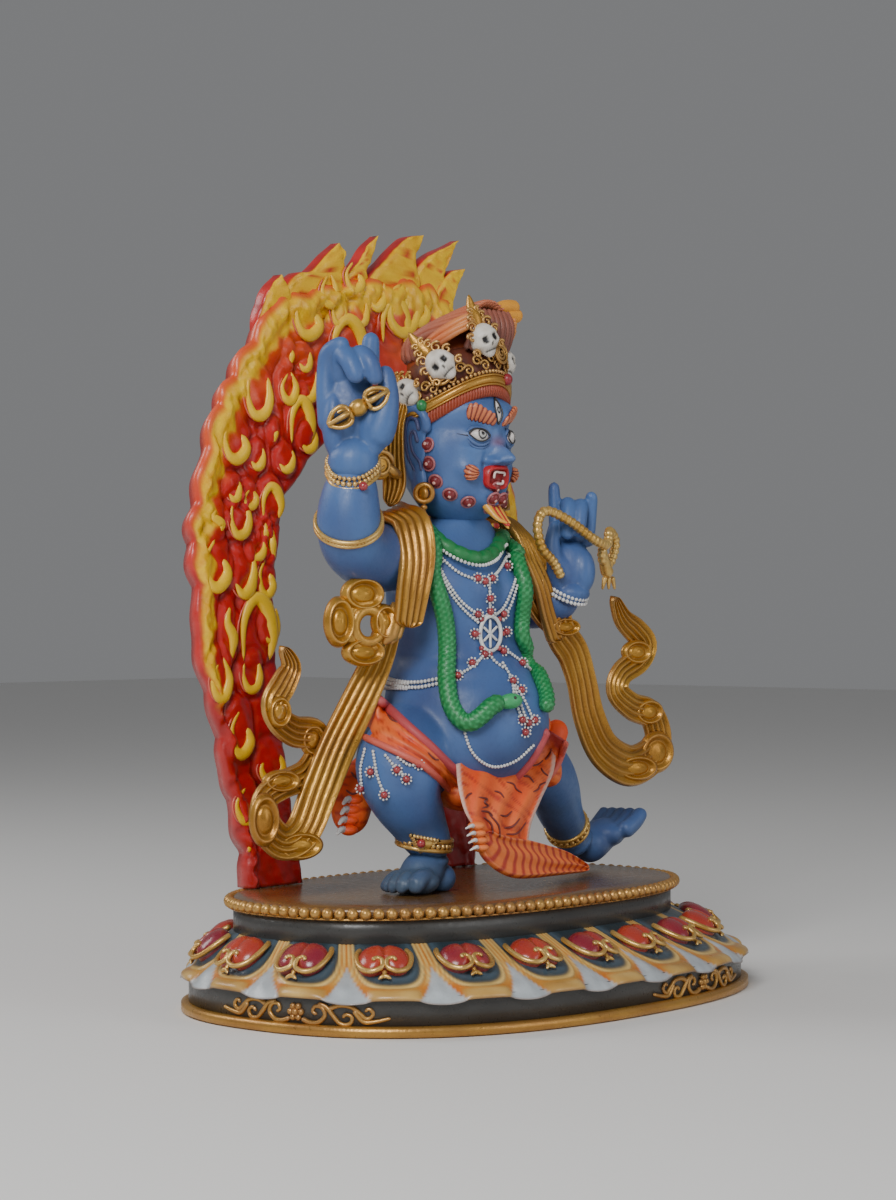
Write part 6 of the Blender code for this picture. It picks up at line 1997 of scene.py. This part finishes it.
NEAR_SNAKE = [(423, 521), (426, 545), (432, 573), (441, 600), (446, 625), (448, 655), (448, 682), (452, 705),
              (461, 720), (471, 723), (482, 715), (492, 706), (503, 704)]
FAR_SNAKE = [(508, 549), (514, 568), (520, 590), (517, 612), (516, 636), (524, 656), (534, 678),
             (541, 698), (540, 716)]
COLLAR_LINE = [(424, 528), (432, 536), (443, 546), (461, 556), (479, 560), (494, 552), (500, 538)]
NECKLACE = [(430, 546), (446, 563), (462, 575), (484, 581), (497, 572), (507, 555)]
LONG_NECKLACES = ([(436, 560), (448, 583), (462, 602), (478, 614), (490, 616), (502, 608), (511, 590),
                   (515, 578)],
                  [(438, 567), (450, 592), (464, 610), (477, 622)], [(516, 586), (510, 604), (502, 620)])
BELT_STRANDS = ([(484, 655), (474, 666), (462, 673), (448, 677)], [(504, 650), (520, 662), (536, 676)],
                [(488, 582), (489, 598), (489, 612)], [(489, 655), (494, 662), (502, 668)],
                [(502, 664), (508, 674), (512, 682)], [(512, 684), (514, 700), (521, 719)],
                [(512, 684), (518, 700), (526, 722)], [(512, 684), (522, 698), (532, 720)],
                [(464, 730), (470, 748), (480, 760), (495, 766), (515, 760), (532, 745)])
HIP_BELTS = ([(384, 676), (400, 682), (420, 683), (441, 679)],
             [(385, 681), (400, 687), (420, 688), (441, 684)])
THIGH_STRANDS = ([(366, 750), (362, 768), (363, 786)], [(374, 752), (378, 775), (384, 792)],
                 [(386, 756), (396, 768), (405, 777)], [(398, 758), (408, 765), (416, 765)])
JEWEL_SPOTS = [(477, 579), (484, 582), (491, 579), (489, 598), (477, 614), (502, 614), (484, 655), (502, 652),
               (474, 634), (505, 632), (489, 611), (472, 664), (521, 664), (512, 682), (521, 720), (527, 723),
               (533, 720), (524, 732), (363, 788), (385, 794), (406, 779), (418, 765), (372, 772), (397, 770),
               (458, 676), (537, 678), (506, 567), (438, 561)]


def loop_on(pixels, back, tree, lift, step):
    """A loop whose front follows pixels on the body, and whose back runs round the neck."""
    front = path_on(pixels, tree, lift, step=3.0)
    behind = snapped(lifted(back), tree, lift, 20.0)
    return closed_path(np.vstack([front, behind]), step)


def ring_on(tree, centre, axis, lift, count=72, reach=19.0):
    """A ring round a limb: rays square to its axis, from outside in towards its middle."""
    middle = np.array(centre, float) + (0, 0, PLATE_TOP)
    axis = unit(np.array(axis, float))
    first = unit(np.cross(axis, (0.3, 1, 0.2)))
    second = np.cross(axis, first)
    turn = round_turns(count)
    out = []
    for way in np.cos(turn)[:, None] * first + np.sin(turn)[:, None] * second:
        hit, _, _, gap = tree.ray_cast(Vector(middle + way * reach), Vector(-way), reach)
        out.append(reach - gap if hit is not None else np.nan)
    far = np.array(out)
    far = np.where(np.isnan(far), np.nanmedian(far), far)
    far = np.minimum(far, np.median(far) * 1.3)
    for _ in range(3):
        far = 0.5 * far + 0.25 * (np.roll(far, 1) + np.roll(far, -1))
    return middle + (np.cos(turn)[:, None] * first + np.sin(turn)[:, None] * second) * (far + lift)[:, None]


def jewel_ring(place, way):
    """The tiny white beads round a jewel."""
    side = unit(np.cross(way, UPRIGHT))
    return copies(SMALL_BALL, circle(place, side, np.cross(side, way), 2.05, 9), 0.52)


def build_snake(trunk):
    """The green snake over the chest, its head, and the green collar."""
    near = path_on(NEAR_SNAKE, trunk, 2.9, step=0.7, rounds=8)
    far = path_on(FAR_SNAKE, trunk, 2.7, step=0.7, rounds=8)
    over = snapped(lifted([(-8, 30, 150), (-22, 24, 154), (-31, 12, 155)]), trunk, 3.0, 25.0)
    near = even_line(np.vstack([over, near[4::5]]), step=0.75)
    over = snapped(lifted([(-8, 30, 150), (9, 24, 153), (17, 12, 154)]), trunk, 3.0, 25.0)
    far = even_line(np.vstack([over, far[4::5]]), step=0.75)
    end = near[-1]
    head = egg(end + (2.6, -1.0, 0.4), (5.6, 3.4, 3.3),
               [(0.9, -0.42, 0.1), (0.42, 0.9, 0), (-0.1, 0, 1)], 18, 26, GREEN_PALE)
    collar = loop_on(COLLAR_LINE, [(20, 12, 155), (8, 24, 158), (-6, 27, 158), (-20, 22, 158),
                                   (-28, 10, 156)],
                     trunk, 0.9, 0.8)
    turn = np.arange(len(collar))
    rope = 3.1 + 0.45 * np.abs(np.sin(turn * 0.42))
    shapes = [scaled_skin(near, 3.9), scaled_skin(far, 3.5), head,
              tube(collar, rope, 14, loop=True, paint=GREEN)]
    piece("snake", shapes, SCALES)
    eye = egg(end + (2.2, -4.0, 1.9), (0.7, 0.7, 0.7), paint=BLACK)
    piece("snake_eye", [eye], FACE)
    return collar


def build_beads(tree, limbs):
    """Necklaces, belts, hip and thigh strings, with red jewels in rings of small beads."""
    white = []
    lower = [(u, v + 9) for u, v in COLLAR_LINE]
    collar = loop_on(lower, [(21, 12, 152), (8, 25, 155), (-6, 28, 155), (-20, 23, 155), (-30, 10, 153)],
                     limbs["body"], 3.0, 1.75)
    white.append(copies(SMALL_BALL, collar, 0.85))
    loop = loop_on(NECKLACE, [(22, 12, 150), (8, 25, 152), (-6, 28, 152), (-20, 24, 152), (-31, 10, 150)],
                   limbs["body"], 0.7, 1.55)
    white.append(copies(SMALL_BALL, loop, 0.78))
    for line in (*LONG_NECKLACES, *BELT_STRANDS, *THIGH_STRANDS):
        white.append(copies(SMALL_BALL, path_on(line, tree, 0.7, step=1.5), 0.76))
    for line in HIP_BELTS:
        white.append(copies(SMALL_BALL, path_on(line, tree, 0.9, step=1.7), 0.9))
    for high in (0.0, -2.2):
        ring = ring_on(tree, (-6, 4, 87 + high), (0.03, 0, 1), 0.9, 200, 70.0)
        behind = ring[ring[:, 1] > 4]
        behind = even_line(behind[np.argsort(behind[:, 0])], step=1.7, smooth=False)
        white.append(copies(SMALL_BALL, behind, 0.9))
    turn = round_turns(40)
    oval_px = [(489 + 10 * math.cos(a), 634 + 18 * math.sin(a)) for a in turn]
    medal = laid(oval_px, tree, 1.0)
    white.append(tube(medal, 0.85, 8, loop=True))
    for k in range(3):
        a = math.pi * k / 3 + 0.5
        line = [(489 + 8 * math.cos(a), 634 + 15 * math.sin(a)),
                (489 - 8 * math.cos(a), 634 - 15 * math.sin(a))]
        white.append(tube(path_on(line, tree, 0.8, count=20), 0.6, 7))
    red = []
    spots = snapped(laid(JEWEL_SPOTS, tree, 1.0), tree, 1.0, 60.0)
    ways = unit(EYE - spots)
    for place, way in zip(spots, ways):
        red.append(egg(place, (1.55, 1.55, 1.55), rows=9, cols=14))
        white.append(jewel_ring(place, way))
    for k in range(8):
        a = 2 * math.pi * k / 8
        place = laid([(489 + 12 * math.cos(a), 634 + 21 * math.sin(a))], tree, 1.0)[0]
        red.append(egg(place, (1.2, 1.2, 1.2), rows=9, cols=12))
    wrist = ring_on(limbs["left"], (46, -15, 125.5), (0.0, -0.5, 1), 0.8, 80)
    white.append(copies(SMALL_BALL, closed_path(wrist, 1.9), 0.95))
    white.append(copies(SMALL_BALL, closed_path(wrist + (0.1, -0.6, 2.0), 1.9), 0.95))
    upper = ring_on(limbs["body"], (38, 9, 129), (0.8, -0.1, -0.7), 0.8, 80)
    white.append(copies(SMALL_BALL, closed_path(upper, 1.8), 0.9))
    piece("white_beads", white, BEADWORK)
    piece("red_jewels", red, DROPS)


def gold_ring(ring, axis, rows=(0.0,), thick=1.1, bead=0.0):
    """A bracelet: plain rings side by side, and a row of beads where asked."""
    axis = unit(np.array(axis, float))
    shapes = [tube(ring + axis * shift, thick, 10, loop=True) for shift in rows]
    if bead:
        shapes.append(copies(SMALL_BALL, closed_path(ring, bead * 1.9), bead))
    return shapes


def build_gold(limbs):
    """Armlet, bracelets, anklets, the lasso and the small sceptre."""
    shapes = []
    tilt = (-0.50, -0.42, 0.75)
    ring = ring_on(limbs["body"], (-78, 3, 155), tilt, 0.5, reach=24.0)
    shapes += gold_ring(ring, tilt, (-1.0, 1.0), 0.95)
    shapes += gold_ring(ring, tilt, (), 1.0, 0.8)
    tilt = (-0.40, -0.34, 0.85)
    ring = ring_on(limbs["right"], (-77, 1, 177), tilt, 0.5)
    shapes += gold_ring(ring, tilt, (-1.8,), 1.05)
    shapes += gold_ring(ring + (0, 0, 0.4), tilt, (), 1.0, 1.25)
    shapes += gold_ring(ring + (0, 0, 2.6), tilt, (), 1.0, 1.05)
    for centre, axis in (((-34.0, -3, 21.0), (0.05, -0.15, 1)), ((77, 9.4, 20.5), (-0.75, -0.3, 0.6))):
        ring = ring_on(limbs["body"], centre, axis, 0.5)
        shapes += gold_ring(ring, axis, (-2.0, 2.0), 0.95)
        shapes += gold_ring(ring, axis, (), 1.0, 1.3)
    lasso = lifted([(36, -20, 133), (30, -20, 140), (22, -20, 146), (19, -20, 156), (25, -20, 162),
                    (36, -24, 158), (50, -27, 150), (62, -25, 148), (68, -22, 154), (75, -20, 149),
                    (71, -20, 140), (63, -22, 141), (60, -24, 147)])
    rows = even_line(lasso, step=0.5)
    beat = 1.7 + 0.55 * np.abs(np.sin(lengths_along(rows) / 2.6 * math.pi))
    shapes.append(tube(rows, beat, 12))
    tail = even_line(lifted([(60, -24, 147), (66, -21, 139), (70, -20, 134)]), count=24)
    shapes.append(tube(tail, np.linspace(1.6, 3.2, 24), 12))
    for k in range(3):
        end = lifted([(70, -20, 134)])[0] + (2.4 * (k - 1), 0, 0)
        shapes.append(tube(even_line([end, end + (1.2 * (k - 1), 0, -3), end + (2.2 * (k - 1), 0, -6)],
                                     count=12),
                           np.linspace(1.4, 0.5, 12), 8))
    middle = laid([(357, 409)], limbs["right"], 3.4)[0]
    along = unit(np.array([0.62, -0.60, 0.50]))
    side = unit(np.cross(along, UPRIGHT))
    up = np.cross(side, along)
    shapes.append(egg(middle, (3.6, 3.6, 4.2), [side, up, along], 16, 24))
    for way in (-1, 1):
        shapes.append(tube(np.array([middle + along * way * t for t in np.linspace(2, 14, 14)]),
                           np.linspace(1.8, 0.8, 14), 10))
        for k in range(5):
            a = 2 * math.pi * k / 5
            arm = side * math.cos(a) + up * math.sin(a)
            line = [middle + along * way * 3.5 + arm * 1.4, middle + along * way * 6 + arm * 4.2,
                    middle + along * way * 10.5 + arm * 3.6, middle + along * way * 14.5]
            shapes.append(tube(even_line(line, count=22), 0.95, 8))
        shapes.append(tube(circle(middle + along * way * 4.3, side, up, 3.0, 30), 0.8, 8, loop=True))
    plate = laid([(411, 834), (437, 840), (421, 850)], limbs["body"], 0.9)
    for first, second in ((0, 1), (1, 2), (2, 0)):
        edge = [plate[first] * (1 - k) + plate[second] * k for k in np.linspace(0, 1, 9)]
        shapes.append(copies(SMALL_BALL, edge, 1.0))
    shapes.append(egg(plate.mean(0) + (0.4, 0.4, 0), (4.6, 1.4, 3.0),
                      [(0.76, -0.64, 0), (0.64, 0.76, 0), (0, 0, 1)]))
    piece("body_gold", shapes, GILT_BRIGHT)
    spots = np.vstack([laid([(362, 487)], limbs["right"], 1.2), laid([(421, 841)], limbs["body"], 1.6)])
    gems = [egg(p, (1.9, 1.9, 1.9), rows=12, cols=18) for p in spots]
    piece("bracelet_jewels", gems, DROPS)


# Stage

def build_stage():
    """A pale floor, soft studio lights and the camera at the photograph's place."""
    shape = bmesh.new()
    bmesh.ops.create_grid(shape, x_segments=1, y_segments=1, size=4.0)
    mesh = bpy.data.meshes.new("floor")
    shape.to_mesh(mesh)
    shape.free()
    floor = bpy.data.objects.new("floor", mesh)
    bpy.context.scene.collection.objects.link(floor)
    mat = bpy.data.materials.new("pale_floor")
    mat.use_nodes = True
    mat.node_tree.nodes["Principled BSDF"].inputs["Base Color"].default_value = (0.82, 0.81, 0.79, 1)
    mat.node_tree.nodes["Principled BSDF"].inputs["Roughness"].default_value = 0.7
    mesh.materials.append(mat)
    world = bpy.data.worlds.new("studio")
    world.use_nodes = True
    world.node_tree.nodes["Background"].inputs["Color"].default_value = (0.80, 0.81, 0.83, 1)
    world.node_tree.nodes["Background"].inputs["Strength"].default_value = 0.25
    bpy.context.scene.world = world
    aim = Vector((0, 0, 0.16))
    for name, place, size, power in (("key", (-1.15, -0.55, 0.95), 0.6, 16.0),
                                     ("fill", (0.35, -1.4, 0.55), 0.9, 4.5),
                                     ("back", (-0.6, 1.0, 0.9), 0.6, 6.0)):
        lamp = bpy.data.lights.new(name, "AREA")
        lamp.size = size
        lamp.energy = power
        obj = bpy.data.objects.new(name, lamp)
        obj.location = place
        obj.rotation_euler = (aim - Vector(place)).to_track_quat("-Z", "Y").to_euler()
        bpy.context.scene.collection.objects.link(obj)
    cam = bpy.data.cameras.new("photo_camera")
    cam.lens = LENS
    cam.sensor_width = FILM
    cam.clip_start = 0.05
    obj = bpy.data.objects.new("photo_camera", cam)
    obj.location = CAMERA_PLACE
    obj.rotation_euler = [math.radians(a) for a in CAMERA_TURN]
    bpy.context.scene.collection.objects.link(obj)
    bpy.context.scene.camera = obj


build_stage()
build_base()
build_aureole()
body_parts = build_body()
head, ear = build_head()
skin_tree = carrier(*body_parts, head)
limb_trees = {"body": carrier(body_parts[0]), "right": carrier(body_parts[0], body_parts[1]),
              "left": carrier(body_parts[0], body_parts[2])}
build_scarves()
build_skirt(skin_tree)
build_crown()
build_ear_gold()
build_snake(limb_trees["body"])
build_beads(skin_tree, limb_trees)
build_gold(limb_trees)
